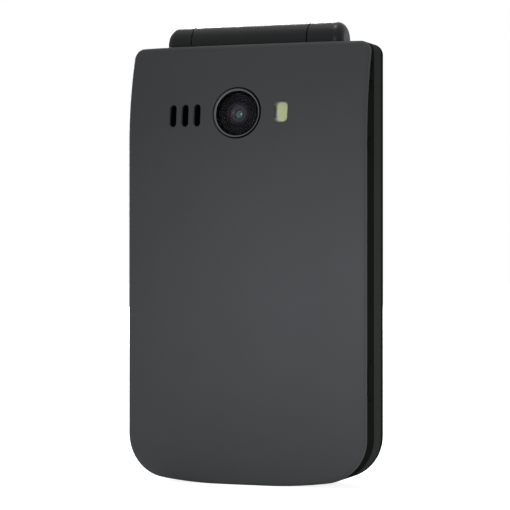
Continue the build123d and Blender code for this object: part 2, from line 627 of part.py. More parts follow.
def contact_xs():
    """Places of the battery contacts across the tray."""
    middle = (CONTACT_COUNT - 1) / 2
    return [BATTERY_CENTRE_X + (index - middle) * CONTACT_PITCH for index in range(CONTACT_COUNT)]


def contact_space():
    """Windows in the tray rib for the battery contacts."""
    low, high = CONTACT_HEIGHT_Y
    z_span = (BAY_Z[1] - 1, BAY_Z[1] + RIB_WALL + 1)
    spaces = [
        block(centred(x, CONTACT_WIDTH), (low, high), z_span) for x in contact_xs()
    ]
    return spaces[0] + spaces[1:]


def screw_boss(x, z):
    """Post that joins the side wall and takes one housing screw."""
    outer_x = INNER_X + FIT_GAP
    x_span = (x - BOSS_SIZE / 2, outer_x) if x > 0 else (-outer_x, x + BOSS_SIZE / 2)
    post = block(x_span, (BACK_Y, BOARD_BACK_Y - LAYER_GAP), centred(z, BOSS_SIZE))
    post &= back_form(HOUSING_INNER + LAYER_GAP)
    seat = screw_seat(x, z)
    post -= rod_y(SCREW_HEAD_RADIUS + FIT_GAP, x, z, (BACK_Y, seat))
    return post - rod_y(SCREW_SHANK_RADIUS, x, z, (BACK_Y, seat + SCREW_LENGTH))


def strap_boss():
    """Block behind the two strap eyelets."""
    depth = STRAP_BAR + EYELET_TUNNEL + STRAP_BOSS_WALL
    half_y = EYELET_WIDTH / 2 + STRAP_BOSS_WALL
    z_low = EYELET_Z[1] - EYELET_HEIGHT / 2 - STRAP_BOSS_WALL
    z_high = EYELET_Z[0] + EYELET_HEIGHT / 2 + STRAP_BOSS_WALL
    boss = block(
        (HALF_WIDTH - depth, INNER_X + FIT_GAP), (EYELET_Y - half_y, BEZEL_BACK_Y), (z_low, z_high)
    )
    return boss & back_form(HOUSING_INNER + LAYER_GAP)


def strap_tunnel():
    """Two eyelets in the side wall, joined behind the strap bar."""
    y_span = centred(EYELET_Y, EYELET_WIDTH)
    tunnel_x = (HALF_WIDTH - STRAP_BAR - EYELET_TUNNEL, HALF_WIDTH - STRAP_BAR)
    z_span = (EYELET_Z[1] - EYELET_HEIGHT / 2, EYELET_Z[0] + EYELET_HEIGHT / 2)
    tunnel = block(tunnel_x, y_span, z_span)
    for z in EYELET_Z:
        tunnel += block((tunnel_x[0], HALF_WIDTH + 1), y_span, centred(z, EYELET_HEIGHT))
    return tunnel


def rocker_space():
    """Opening in the left wall for the volume rocker."""
    return block(
        (-HALF_WIDTH - 1, -INNER_X + 1),
        centred(ROCKER_Y, ROCKER_WIDTH + 2 * ROCKER_CLEARANCE),
        centred(ROCKER_Z, ROCKER_LENGTH + 2 * ROCKER_CLEARANCE),
    )


def snap_lips():
    """Two ribs that grip the inside of the side walls."""
    outer = INNER_X - FIT_GAP
    depth = shoulder_drop(outer) + COVER_RIM_DEPTH + SNAP_LIP_DEPTH
    x_span = (outer - SNAP_LIP_THICKNESS, outer)
    right = block(x_span, (BACK_Y, BACK_Y + depth), (SNAP_LIP_BOTTOM, SNAP_LIP_TOP))
    return right + mirror(right, about=Plane.YZ)


def battery_cover():
    """Back cover with its speaker slots, camera hole and flash hole."""
    cover = KEYPAD_HALF - COVER_PARTING
    hollow = plate(outline(COVER_RIM_WALL), (BACK_Y - 1, BASE_FRONT_Y)) & back_form(COVER_WALL)
    cover = (KEYPAD_HALF - back_form(COVER_WALL)) + (cover - hollow)
    cover += snap_lips() & back_form(COVER_WALL - FIT_GAP)
    hole = Cylinder(CAMERA_RING_RADIUS + CAMERA_HOLE_CLEARANCE, 4)
    cover -= back_place(CAMERA_X, CAMERA_Z) * hole
    through = (BACK_Y - 1, BACK_Y + 4)
    for x in SLOT_X:
        cover -= plate(Pos(x, SLOT_Z) * SlotOverall(SLOT_HEIGHT, SLOT_WIDTH, rotation=90), through)
    return cover - plate(flash_face(), through)


def flash_face():
    """Front face of the flash window."""
    return rounded(FLASH_X, FLASH_Z, FLASH_WIDTH, FLASH_HEIGHT, FLASH_CORNER)


def flash_window():
    """Light guide that fills the flash hole."""
    guide = plate(flash_face(), (BACK_Y - 1, BACK_Y + 4))
    return guide & (KEYPAD_HALF - back_form(COVER_WALL))


def keypad_bezel():
    """Front plate of the keypad half, pierced for the keys."""
    face = plate(outline(BEZEL_INSET + LAYER_GAP), (BEZEL_BACK_Y, BASE_FRONT_Y))
    for place in key_layout().values():
        face -= plate(key_face(place, KEY_CLEARANCE), (BEZEL_BACK_Y - 1, BASE_FRONT_Y + 1))
    face -= rod_y(NAV_RADIUS + KEY_CLEARANCE, 0, NAV_Z, (BEZEL_BACK_Y - 1, BASE_FRONT_Y + 1))
    hole_y = (BEZEL_BACK_Y - 1, BASE_FRONT_Y + 1)
    face -= rod_y(MICROPHONE_HOLE_RADIUS, 0, MICROPHONE_Z, hole_y)
    return face - SADDLE_CLEAR


def rear_housing():
    """Inner cover over the upper bay, which carries the camera and the aerial."""
    upper = plate(outline(SIDE_WALL + FIT_GAP), (BACK_Y - 1, BASE_FRONT_Y))
    upper &= block((-HALF_WIDTH, HALF_WIDTH), (BACK_Y, 0), (HOUSING_BOTTOM, HOUSING_TOP))
    housing = (upper & back_form(INSIDE_COVER)) - back_form(HOUSING_INNER)
    housing -= SADDLE_CLEAR
    housing -= back_place(CAMERA_X, CAMERA_Z) * Cylinder(CAMERA_RING_RADIUS + LAYER_GAP, 5)
    housing -= plate(mesh_face(), (BACK_Y - 1, BACK_Y + 6)) - back_form(INSIDE_COVER + MESH_THICKNESS)
    for x in SLOT_X:
        slot = SlotOverall(SLOT_HEIGHT, SLOT_WIDTH, rotation=90)
        housing -= plate(Pos(x, SLOT_Z) * slot, (BACK_Y - 1, BACK_Y + 6))
    led = FLASH_LED_SIZE + 2 * FIT_GAP
    housing -= block(centred(FLASH_X, led), (BACK_Y, BACK_Y + 5), centred(FLASH_Z, led))
    for x, z in BOSS_PLACES:
        seat = screw_seat(x, z)
        housing -= rod_y(SCREW_HEAD_RADIUS + FIT_GAP, x, z, (seat - 2, seat))
        housing -= rod_y(SCREW_SHANK_RADIUS, x, z, (seat - 1, seat + 3))
    return housing - jack_space() - rocker_room()


def screw_seat(x, z):
    """Depth at which the head of a housing screw rests."""
    surface = BACK_Y + back_depth(z + SCREW_HEAD_RADIUS) + shoulder_drop(abs(x) + SCREW_HEAD_RADIUS)
    return surface + INSIDE_COVER + SCREW_HEAD_DEPTH


def shoulder_drop(x):
    """How far the back falls away from its middle at a place across it."""
    slope = asin(CROWN_HALF_WIDTH / CROWN_RADIUS)
    crown = CROWN_RADIUS * (1 - cos(slope))
    end = asin((x - CROWN_HALF_WIDTH) / SHOULDER_RADIUS + sin(slope))
    return crown + SHOULDER_RADIUS * (cos(slope) - cos(end))


def mesh_face():
    """Outline of the mesh behind the speaker slots."""
    return rounded(SPEAKER_CENTRE_X, SLOT_Z, MESH_WIDTH, MESH_HEIGHT, SMALL_CORNER)


def speaker_mesh():
    """Dust mesh let into the housing behind the slots."""
    mesh = plate(mesh_face(), (BACK_Y - 1, BACK_Y + 6))
    return (mesh & back_form(INSIDE_COVER)) - back_form(INSIDE_COVER + MESH_THICKNESS)


def base_screws():
    """Four screws that hold the rear housing on its bosses."""
    screws = []
    for x, z in BOSS_PLACES:
        seat = screw_seat(x, z)
        head = rod_y(SCREW_HEAD_RADIUS, x, z, (seat - SCREW_HEAD_DEPTH, seat))
        shank = rod_y(SCREW_SHANK_RADIUS, x, z, (seat - SCREW_HEAD_DEPTH / 2, seat + SCREW_LENGTH))
        screws.append(head + shank)
    return Compound(children=screws)


# ================================================================ keypad half: contents
def battery():
    """Battery pack, which fills its bay in the tray."""
    y_span = (BATTERY_FRONT_Y - BATTERY_THICKNESS, BATTERY_FRONT_Y)
    z_span = (BATTERY_BOTTOM, BATTERY_BOTTOM + BATTERY_HEIGHT)
    pack = block(centred(BATTERY_CENTRE_X, BATTERY_WIDTH), y_span, z_span)
    return fillet(pack.edges().filter_by(Axis.Z), COVER_EDGE_ROUND) & back_form(INSIDE_COVER)


def battery_contacts():
    """Three sprung contacts that reach from the board to the battery."""
    low, high = CONTACT_HEIGHT_Y
    contacts = []
    for x in contact_xs():
        x_span = centred(x, CONTACT_WIDTH)
        stem_z = (BAY_Z[1] + RIB_WALL + FIT_GAP, BAY_Z[1] + RIB_WALL + CONTACT_REACH)
        stem = block(x_span, (low, BOARD_BACK_Y), stem_z)
        tip = block(x_span, (low, high), (BATTERY_BOTTOM + BATTERY_HEIGHT, stem_z[1]))
        contacts.append(stem + tip)
    return Compound(children=contacts)


def main_board():
    """Circuit board that carries the sockets and the upper bay."""
    y_span = (BOARD_BACK_Y, BOARD_FRONT_Y)
    board = plate(outline(SIDE_WALL + FIT_GAP), y_span)
    board -= SADDLE_CLEAR
    boss_depth = STRAP_BAR + EYELET_TUNNEL + STRAP_BOSS_WALL + FIT_GAP
    board -= block(
        (HALF_WIDTH - boss_depth, HALF_WIDTH), y_span,
        (EYELET_Z[1] - EYELET_HEIGHT / 2 - STRAP_BOSS_WALL - FIT_GAP, BODY_HEIGHT),
    )
    board -= jack_space()
    board -= usb_space()
    return board - rocker_room()


def dome_sheet():
    """Sheet of snap domes between the keys and the board."""
    low = NUMBER_TOP_ROW_Z - (len(NUMBER_KEYS) - 0.5) * NUMBER_ROW_PITCH
    high = SOFT_KEY_Z + SOFT_KEY_HEIGHT / 2
    half = SIDE_KEY_X + SIDE_KEY_WIDTH / 2 - RIB_WALL
    return block((-half, half), (BOARD_FRONT_Y, DOME_FRONT_Y), (low, high)) - jack_space()


def headphone_socket():
    """Round socket with a blind bore that opens through the side wall."""
    x_span = (INNER_X - JACK_BODY_LENGTH - FIT_GAP, INNER_X - FIT_GAP)
    body = block(x_span, centred(JACK_Y, JACK_BODY_DEPTH), centred(JACK_Z, JACK_BODY_HEIGHT))
    return body - rod_x(JACK_BORE_RADIUS, (x_span[1] - JACK_BORE_DEPTH, x_span[1] + 1), JACK_Y, JACK_Z)


def usb_socket():
    """Charging socket: a flat oval shell round a contact tongue."""
    x_high = HALF_WIDTH - SIDE_WALL / 2
    x_low = x_high - USB_SHELL_LENGTH
    place = Pos(x_low, USB_Y, USB_Z) * Rot(0, 90, 0)
    shell = place * extrude(usb_face(0), amount=USB_SHELL_LENGTH)
    cavity = place * Pos(0, 0, USB_SHELL_WALL) * extrude(usb_face(-USB_SHELL_WALL), amount=USB_SHELL_LENGTH)
    tongue_x = (x_low + USB_SHELL_WALL / 2, x_low + USB_TONGUE_LENGTH)
    tongue = block(tongue_x, centred(USB_Y, USB_TONGUE_DEPTH), centred(USB_Z, USB_TONGUE_HEIGHT))
    return (shell - cavity) + tongue


def card_socket(x, width, height):
    """Flat socket on the board, level with the tray floor."""
    y_span = (BOARD_BACK_Y - CARD_SOCKET_THICKNESS, BOARD_BACK_Y)
    socket = block(centred(x, width), y_span, centred(SIM_Z, height))
    return fillet(socket.edges().filter_by(Axis.Y), CARD_CORNER)


def shield_can():
    """Folded metal can over the radio circuits."""
    outer = block(
        centred(SHIELD_X, SHIELD_WIDTH),
        (BOARD_BACK_Y - SHIELD_THICKNESS, BOARD_BACK_Y),
        centred(SHIELD_Z, SHIELD_HEIGHT),
    )
    inner = block(
        centred(SHIELD_X, SHIELD_WIDTH - 2 * SHIELD_SKIN),
        (BOARD_BACK_Y - SHIELD_THICKNESS + SHIELD_SKIN, BOARD_BACK_Y + 1),
        centred(SHIELD_Z, SHIELD_HEIGHT - 2 * SHIELD_SKIN),
    )
    return outer - inner


def loudspeaker():
    """Flat loudspeaker behind the slots."""
    body = block(
        SPEAKER_X,
        (BOARD_BACK_Y - SPEAKER_THICKNESS, BOARD_BACK_Y),
        centred(SLOT_Z, SPEAKER_HEIGHT),
    )
    return fillet(body.edges().filter_by(Axis.Y), SMALL_CORNER)


def vibration_motor():
    """Cylindrical motor with its off-centre weight."""
    centre_y = BOARD_BACK_Y - MOTOR_RADIUS
    can = rod_x(MOTOR_RADIUS, (MOTOR_X, MOTOR_X + MOTOR_LENGTH), centre_y, MOTOR_Z)
    weight_x = (MOTOR_X - WEIGHT_GAP - WEIGHT_LENGTH, MOTOR_X - WEIGHT_GAP)
    shaft = rod_x(MOTOR_SHAFT_RADIUS, (weight_x[0], MOTOR_X + WEIGHT_GAP), centre_y, MOTOR_Z)
    weight = rod_x(MOTOR_RADIUS - FIT_GAP, weight_x, centre_y, MOTOR_Z)
    half = block(weight_x, (centre_y, BOARD_BACK_Y), centred(MOTOR_Z, 2 * MOTOR_RADIUS))
    return can + shaft + (weight - half)


def microphone():
    """Microphone behind its hole in the lower edge of the bezel."""
    y_span = (BOARD_FRONT_Y, BOARD_FRONT_Y + MICROPHONE_THICKNESS)
    z_span = centred(MICROPHONE_Z, MICROPHONE_HEIGHT)
    return block(centred(0, MICROPHONE_WIDTH), y_span, z_span)


def camera_place():
    """Location of the front of the camera's trim ring."""
    return back_place(CAMERA_X, CAMERA_Z) * Pos(0, 0, -CAMERA_RING_SINK)


def camera_ring():
    """Trim ring round the camera window, with the ledge that carries the glass."""
    ring = Pos(0, 0, -CAMERA_RING_DEPTH / 2) * Cylinder(CAMERA_RING_RADIUS, CAMERA_RING_DEPTH)
    seat = Pos(0, 0, -LAYER_GAP - CAMERA_WINDOW_THICKNESS / 2) * Cylinder(
        CAMERA_WINDOW_RADIUS, CAMERA_WINDOW_THICKNESS + 2 * LAYER_GAP
    )
    bore = Pos(0, 0, -CAMERA_RING_DEPTH / 2) * Cylinder(
        CAMERA_WINDOW_RADIUS - CAMERA_LEDGE, CAMERA_RING_DEPTH + 1
    )
    ring = fillet((ring - seat - bore).edges().sort_by(Axis.Z)[-1], FIT_GAP * 2)
    return camera_place() * ring


def camera_window():
    """Round glass in front of the camera."""
    glass = Pos(0, 0, -2 * LAYER_GAP - CAMERA_WINDOW_THICKNESS / 2) * Cylinder(
        CAMERA_WINDOW_RADIUS, CAMERA_WINDOW_THICKNESS
    )
    return camera_place() * glass


def camera_module():
    """Camera body with its lens barrel."""
    barrel_low = -CAMERA_RING_DEPTH - CAMERA_BARREL_LENGTH
    barrel = Pos(0, 0, (barrel_low - CAMERA_RING_DEPTH) / 2) * Cylinder(
        CAMERA_BARREL_RADIUS, CAMERA_BARREL_LENGTH
    )
    bore = Pos(0, 0, -CAMERA_RING_DEPTH) * Cone(
        CAMERA_BARREL_RADIUS / 3, CAMERA_BARREL_RADIUS / 1.5, CAMERA_BARREL_LENGTH / 2
    )
    body = Pos(0, 0, barrel_low - CAMERA_BODY_THICKNESS / 2 + LAYER_GAP) * Box(
        CAMERA_BODY_SIZE, CAMERA_BODY_SIZE, CAMERA_BODY_THICKNESS
    )
    return camera_place() * (barrel + body - bore)


def flash_led():
    """Light source in its pocket behind the flash window."""
    y_low = BACK_Y + back_depth(FLASH_Z + FLASH_LED_SIZE) + INSIDE_COVER
    size = centred(FLASH_Z, FLASH_LED_SIZE)
    return block(centred(FLASH_X, FLASH_LED_SIZE), (y_low, y_low + HOUSING_WALL), size)


def rocker_room():
    """Room for the volume rocker's flange and its tipping."""
    inner_x = -INNER_X + ROCKER_CLEARANCE + ROCKER_FLANGE + 2 * ROCKER_CLEARANCE
    width = ROCKER_WIDTH + 2 * ROCKER_FLANGE_LIP + 2 * ROCKER_CLEARANCE
    height = ROCKER_LENGTH + 2 * ROCKER_FLANGE_LIP + 2 * ROCKER_CLEARANCE
    return block((-HALF_WIDTH, inner_x), centred(ROCKER_Y, width), centred(ROCKER_Z, height))


def volume_rocker():
    """Volume rocker, let into the left wall and kept in by its flange."""
    face = block(
        (-HALF_WIDTH, -INNER_X + ROCKER_CLEARANCE + FIT_GAP),
        centred(ROCKER_Y, ROCKER_WIDTH),
        centred(ROCKER_Z, ROCKER_LENGTH),
    )
    face = fillet(face.edges().filter_by(Axis.X), ROCKER_WIDTH / 2 - FIT_GAP)
    flange_x = -INNER_X + ROCKER_CLEARANCE
    flange_y = (ROCKER_Y - ROCKER_WIDTH / 2 - ROCKER_FLANGE_LIP, ROCKER_Y + ROCKER_WIDTH / 2)
    flange = block(
        (flange_x, flange_x + ROCKER_FLANGE),
        flange_y,
        centred(ROCKER_Z, ROCKER_LENGTH + 2 * ROCKER_FLANGE_LIP),
    )
    return face + flange + rod_y(ROCKER_PIVOT_RADIUS, flange_x + ROCKER_FLANGE / 2, ROCKER_Z, flange_y)


# ================================================================ keys
def rectangular_key(place):
    """Key cap with the flange that keeps it under the bezel."""
    cap = plate(key_face(place), (FLANGE_BACK_Y, BASE_FRONT_Y + KEY_PROUD))
    flange = plate(key_face(place, KEY_FLANGE_LIP), (FLANGE_BACK_Y, FLANGE_FRONT_Y))
    return cap + flange


def nav_ring():
    """Four-way ring round the middle key."""
    top = BASE_FRONT_Y + KEY_PROUD
    ring = rod_y(NAV_RADIUS, 0, NAV_Z, (FLANGE_BACK_Y, top))
    ring += rod_y(NAV_RADIUS + KEY_FLANGE_LIP, 0, NAV_Z, (FLANGE_BACK_Y, FLANGE_FRONT_Y))
    ring -= rod_y(NAV_BORE, 0, NAV_Z, (FLANGE_BACK_Y - 1, top + 1))
    rebate = FLANGE_FRONT_Y + KEY_TRAVEL + KEY_CLEARANCE
    return ring - rod_y(ok_flange_radius() + OK_CLEARANCE, 0, NAV_Z, (FLANGE_BACK_Y - 1, rebate))


def ok_flange_radius():
    """Radius of the flange under the navigation ring."""
    return NAV_BORE + KEY_FLANGE_LIP


def ok_key():
    """Round key in the middle of the navigation ring."""
    cap = rod_y(OK_RADIUS, 0, NAV_Z, (FLANGE_BACK_Y, BASE_FRONT_Y + KEY_PROUD))
    return cap + rod_y(ok_flange_radius(), 0, NAV_Z, (FLANGE_BACK_Y, FLANGE_FRONT_Y))


# ================================================================ hinge
def hinge_end_caps():
    """Two domed caps that close the ends of the hinge."""
    cap = rod_x(BARREL_RADIUS, (KNUCKLE_END_X, BARREL_HALF_LENGTH), HINGE_Y, HINGE_Z)
    cap = fillet(cap.edges().sort_by(Axis.X)[-1], END_CAP_ROUND)
    return Compound(children=[cap, mirror(cap, about=Plane.YZ)])


def hinge_shaft():
    """Cam shaft: keyed into the right knuckle and turning in the cartridge."""
    cam_x = (BARREL_RIGHT_X - RUNNING_CLEARANCE - CAM_LENGTH, BARREL_RIGHT_X - RUNNING_CLEARANCE)
    cam = rod_x(CARTRIDGE_BORE - RUNNING_CLEARANCE, cam_x, HINGE_Y, HINGE_Z)
    spindle_x = (BARREL_RIGHT_X - CARTRIDGE_LENGTH + CAM_LENGTH, cam_x[1])
    spindle = rod_x(HINGE_SHAFT_RADIUS, spindle_x, HINGE_Y, HINGE_Z)
    key_x = (cam_x[0] + CAM_LENGTH / 2, BARREL_RIGHT_X + HINGE_KEY_LENGTH)
    return cam + spindle + rod_x(HINGE_KEY_RADIUS, key_x, HINGE_Y, HINGE_Z)


def hinge_cartridge():
    """Steel sleeve pressed into the lid's barrel."""
    x_span = (BARREL_RIGHT_X - CARTRIDGE_LENGTH, BARREL_RIGHT_X)
    sleeve = rod_x(CARTRIDGE_RADIUS, x_span, HINGE_Y, HINGE_Z)
    bore_x = (x_span[0] + RIB_WALL, x_span[1] + 1)
    sleeve -= rod_x(CARTRIDGE_BORE, bore_x, HINGE_Y, HINGE_Z)
    spindle_hole = HINGE_SHAFT_RADIUS + RUNNING_CLEARANCE
    return sleeve - rod_x(spindle_hole, (x_span[0] - 1, x_span[1]), HINGE_Y, HINGE_Z)


def hinge_cam_follower():
    """Ring that slides in the cartridge and presses on the cam."""
    cam_back = BARREL_RIGHT_X - RUNNING_CLEARANCE - CAM_LENGTH
    x_span = (cam_back - LAYER_GAP - FOLLOWER_LENGTH, cam_back - LAYER_GAP)
    ring = rod_x(CARTRIDGE_BORE - RUNNING_CLEARANCE, x_span, HINGE_Y, HINGE_Z)
    hole_x = (x_span[0] - 1, x_span[1] + 1)
    return ring - rod_x(HINGE_SHAFT_RADIUS + RUNNING_CLEARANCE, hole_x, HINGE_Y, HINGE_Z)


def hinge_spring():
    """Coil spring that pushes the follower on to the cam."""
    low = BARREL_RIGHT_X - CARTRIDGE_LENGTH + RIB_WALL + SPRING_WIRE_RADIUS + LAYER_GAP
    high = BARREL_RIGHT_X - CAM_LENGTH - FOLLOWER_LENGTH - 2 * RUNNING_CLEARANCE
    height = high - LAYER_GAP - SPRING_WIRE_RADIUS - low
    coil = Edge.make_helix(height / SPRING_TURNS, height, SPRING_COIL_RADIUS)
    wire = Plane(origin=coil @ 0, z_dir=coil % 0) * Circle(SPRING_WIRE_RADIUS)
    spring = sweep(wire, path=coil, is_frenet=True)
    return Pos(low, HINGE_Y, HINGE_Z) * Rot(0, 90, 0) * spring


def hinge_stub():
    """Hollow pin in the left knuckle, which lets the cable through."""
    x_span = (-KNUCKLE_END_X + FIT_GAP, LEFT_SEAM_X + STUB_REACH)
    pin = rod_x(STUB_RADIUS, x_span, HINGE_Y, HINGE_Z)
    return pin - rod_x(STUB_BORE, (x_span[0] - 1, x_span[1] + 1), HINGE_Y, HINGE_Z)


def display_cable():
    """Rolled flexible circuit from the hollow pin down into the lid."""
    turn_x = LEFT_SEAM_X + STUB_REACH + STUB_RADIUS
    roll = rod_x(FLEX_RADIUS, (-KNUCKLE_END_X + 1, turn_x), HINGE_Y, HINGE_Z)
    strip_y = (HINGE_Y - FLEX_RADIUS, HINGE_Y - FLEX_RADIUS + FLEX_THICKNESS)
    strip = block((turn_x - STUB_RADIUS + 0.5, turn_x), strip_y, (cable_foot_z(), HINGE_Z))
    return roll + strip


def cable_foot_z():
    """Height at which the cable lies against the display chassis."""
    return MAIN_WINDOW_Z + CHASSIS_HEIGHT / 2


# ================================================================ lid
def lid_frame():
    """Inner shell of the lid, with the middle barrel of the hinge."""
    shell = LID_HALF & plate(outline(), (LID_INNER_Y - 1, LID_PARTING_Y))
    shell -= plate(outline(LID_WALL), (LID_INNER_Y + LID_PLATE, LID_PARTING_Y + 1))
    window = MAIN_WINDOW_WIDTH + 2 * FIT_GAP
    seat_y = (LID_INNER_Y - 1, LID_INNER_Y + MAIN_WINDOW_THICKNESS + LAYER_GAP)
    recess = rounded(0, MAIN_WINDOW_Z, window, MAIN_WINDOW_HEIGHT + 2 * FIT_GAP, MAIN_WINDOW_CORNER)
    shell -= plate(recess, seat_y)
    through = (LID_INNER_Y - 1, LID_PARTING_Y)
    shell -= block(centred(0, MAIN_VIEW_WIDTH), through, centred(MAIN_WINDOW_Z, MAIN_VIEW_HEIGHT))
    shell -= plate(Pos(0, EARPIECE_Z) * SlotOverall(EARPIECE_SLOT_WIDTH, EARPIECE_SLOT_HEIGHT), through)
    inner = LID_HALF & plate(outline(LID_WALL - FIT_GAP), (LID_INNER_Y, LID_PARTING_Y))
    for x, z in BUMPER_PLACES:
        shell += inner & rod_y(LID_BOSS_RADIUS, x, z, (LID_INNER_Y, LID_PARTING_Y))
        shell -= rod_y(BUMPER_RADIUS, x, z, (LID_INNER_Y - 1, LID_INNER_Y + BUMPER_SEAT))
        shell -= rod_y(LID_SCREW_RADIUS, x, z, (LID_INNER_Y - 1, LID_PARTING_Y + 1))
        head_y = (LID_INNER_Y, LID_INNER_Y + BUMPER_SEAT + LID_SCREW_HEAD_DEPTH)
        shell -= rod_y(LID_SCREW_HEAD_RADIUS, x, z, head_y)
    saddle_reach = plate(outline(LID_WALL - FIT_GAP), (LID_INNER_Y, LID_OUTER_Y - OUTER_WALL))
    shell += saddle_reach & rod_x(SADDLE_RADIUS, SADDLE_X, HINGE_Y, HINGE_Z)
    shell -= rod_x(NOTCH_RADIUS, (-HALF_WIDTH, LEFT_SEAM_X), HINGE_Y, HINGE_Z) & notch_zone()
    shell -= rod_x(NOTCH_RADIUS, (RIGHT_SEAM_X, HALF_WIDTH), HINGE_Y, HINGE_Z) & notch_zone()
    shell += rod_x(BARREL_RADIUS, (BARREL_LEFT_X, BARREL_RIGHT_X), HINGE_Y, HINGE_Z)
    stub_end = LEFT_SEAM_X + STUB_REACH + RUNNING_CLEARANCE
    shell -= rod_x(STUB_RADIUS + RUNNING_CLEARANCE, (LEFT_SEAM_X, stub_end), HINGE_Y, HINGE_Z)
    cartridge_x = (BARREL_RIGHT_X - CARTRIDGE_LENGTH, BARREL_RIGHT_X + 1)
    shell -= rod_x(CARTRIDGE_RADIUS, cartridge_x, HINGE_Y, HINGE_Z)
    turn_x = LEFT_SEAM_X + STUB_REACH + STUB_RADIUS
    shell -= rod_x(STUB_BORE, (LEFT_SEAM_X, turn_x + FIT_GAP), HINGE_Y, HINGE_Z)
    cable_y = centred(HINGE_Y - FLEX_RADIUS + FLEX_THICKNESS / 2, FLEX_THICKNESS + 4 * FIT_GAP)
    cable_z = (HINGE_Z - SADDLE_RADIUS - SADDLE_WALL, HINGE_Z)
    shell -= block((turn_x - STUB_RADIUS, turn_x + FIT_GAP), cable_y, cable_z)
    return shell


def notch_zone():
    """Length of the hinge that the end caps and knuckles sweep."""
    reach = BARREL_HALF_LENGTH + HINGE_CLEARANCE
    return block((-reach, reach), (BACK_Y, LID_OUTER_Y), centred(HINGE_Z, 4 * NOTCH_RADIUS))


def lid_outer_shell():
    """Outer shell of the lid, recessed for the outer window."""
    shell = LID_HALF & plate(outline(), (LID_PARTING_Y + FIT_GAP / 2, LID_OUTER_Y + 1))
    pocket_y = LID_OUTER_Y - OUTER_WALL
    shell -= plate(outline(LID_WALL), (LID_PARTING_Y - 1, (LID_PARTING_Y + pocket_y) / 2))
    shell -= plate(outline(LID_WALL + LID_POCKET_STEP), (LID_PARTING_Y - 1, pocket_y))
    shell -= plate(outer_window_face(FIT_GAP), (outer_seat_y(), LID_OUTER_Y + 1))
    view = rounded(0, OUTER_WINDOW_Z, OUTER_VIEW_WIDTH, OUTER_VIEW_HEIGHT, SMALL_CORNER)
    shell -= plate(view, (LID_PARTING_Y, LID_OUTER_Y + 1))
    for x, z in BUMPER_PLACES:
        boss = rod_y(LID_BOSS_RADIUS, x, z, (LID_PARTING_Y + FIT_GAP / 2, pocket_y + FIT_GAP))
        shell += boss & LID_HALF
        shell -= rod_y(LID_SCREW_RADIUS, x, z, (LID_PARTING_Y, lid_screw_end()))
    return shell - SADDLE_CLEAR


def lid_screw_end():
    """Depth of the tip of a lid screw."""
    return LID_INNER_Y + BUMPER_SEAT + LID_SCREW_HEAD_DEPTH + LID_SCREW_LENGTH


def outer_seat_y():
    """Ledge that carries the outer window."""
    return LID_OUTER_Y - OUTER_WINDOW_DEPTH


def outer_window_face(growth=0.0):
    """Outline of the outer window."""
    width = OUTER_WINDOW_WIDTH + 2 * growth
    height = OUTER_WINDOW_HEIGHT + 2 * growth
    return rounded(0, OUTER_WINDOW_Z, width, height, OUTER_WINDOW_CORNER + growth)


def outer_display_window():
    """Window over the outer display, level with the lid."""
    return LID_HALF & plate(outer_window_face(), (outer_seat_y(), LID_OUTER_Y + 1))


def main_display_window():
    """Window over the main display, level with the inner face."""
    face = rounded(0, MAIN_WINDOW_Z, MAIN_WINDOW_WIDTH, MAIN_WINDOW_HEIGHT, MAIN_WINDOW_CORNER)
    return plate(face, (LID_INNER_Y + LAYER_GAP, LID_INNER_Y + LAYER_GAP + MAIN_WINDOW_THICKNESS))


def main_display():
    """Main display module behind its window."""
    low = LID_INNER_Y + LID_PLATE + LAYER_GAP
    x_span = centred(0, MAIN_DISPLAY_WIDTH)
    return block(x_span, (low, low + MAIN_DISPLAY_THICKNESS), centred(MAIN_WINDOW_Z, MAIN_DISPLAY_HEIGHT))


def chassis_front_y():
    """Face of the chassis that backs the main display."""
    return LID_INNER_Y + LID_PLATE + 2 * LAYER_GAP + MAIN_DISPLAY_THICKNESS


def display_chassis():
    """Metal plate between the displays, with rails under the outer one."""
    low = chassis_front_y()
    high = low + CHASSIS_THICKNESS
    chassis = block(centred(0, CHASSIS_WIDTH), (low, high), centred(MAIN_WINDOW_Z, CHASSIS_HEIGHT))
    rail_x = OUTER_DISPLAY_WIDTH / 2 - RAIL_WIDTH / 2
    z_span = centred(OUTER_WINDOW_Z, OUTER_DISPLAY_HEIGHT)
    for x in (-rail_x, rail_x):
        chassis += block(centred(x, RAIL_WIDTH), (high - LAYER_GAP, high + CHASSIS_RAIL), z_span)
    for x, z in BUMPER_PLACES:
        chassis -= rod_y(LID_BOSS_RADIUS + FIT_GAP, x, z, (low - 1, high + 1))
    return chassis - SADDLE_CLEAR


def outer_display():
    """Small display behind the outer window."""
    low = chassis_front_y() + CHASSIS_THICKNESS + CHASSIS_RAIL
    z_span = centred(OUTER_WINDOW_Z, OUTER_DISPLAY_HEIGHT)
    return block(centred(0, OUTER_DISPLAY_WIDTH), (low, low + OUTER_DISPLAY_THICKNESS), z_span)


def earpiece():
    """Receiver behind the slot at the far end of the lid."""
    low = LID_INNER_Y + LID_PLATE
    body = block(
        centred(0, EARPIECE_WIDTH), (low, low + EARPIECE_THICKNESS), centred(EARPIECE_Z, EARPIECE_HEIGHT)
    )
    return fillet(body.edges().filter_by(Axis.Y), SMALL_CORNER)


def lid_bumpers():
    """Four soft pads that meet the keypad half and hide the lid screws."""
    y_span = (LID_INNER_Y - BUMPER_PROUD, LID_INNER_Y + BUMPER_SEAT)
    return Compound(children=[rod_y(BUMPER_RADIUS, x, z, y_span) for x, z in BUMPER_PLACES])


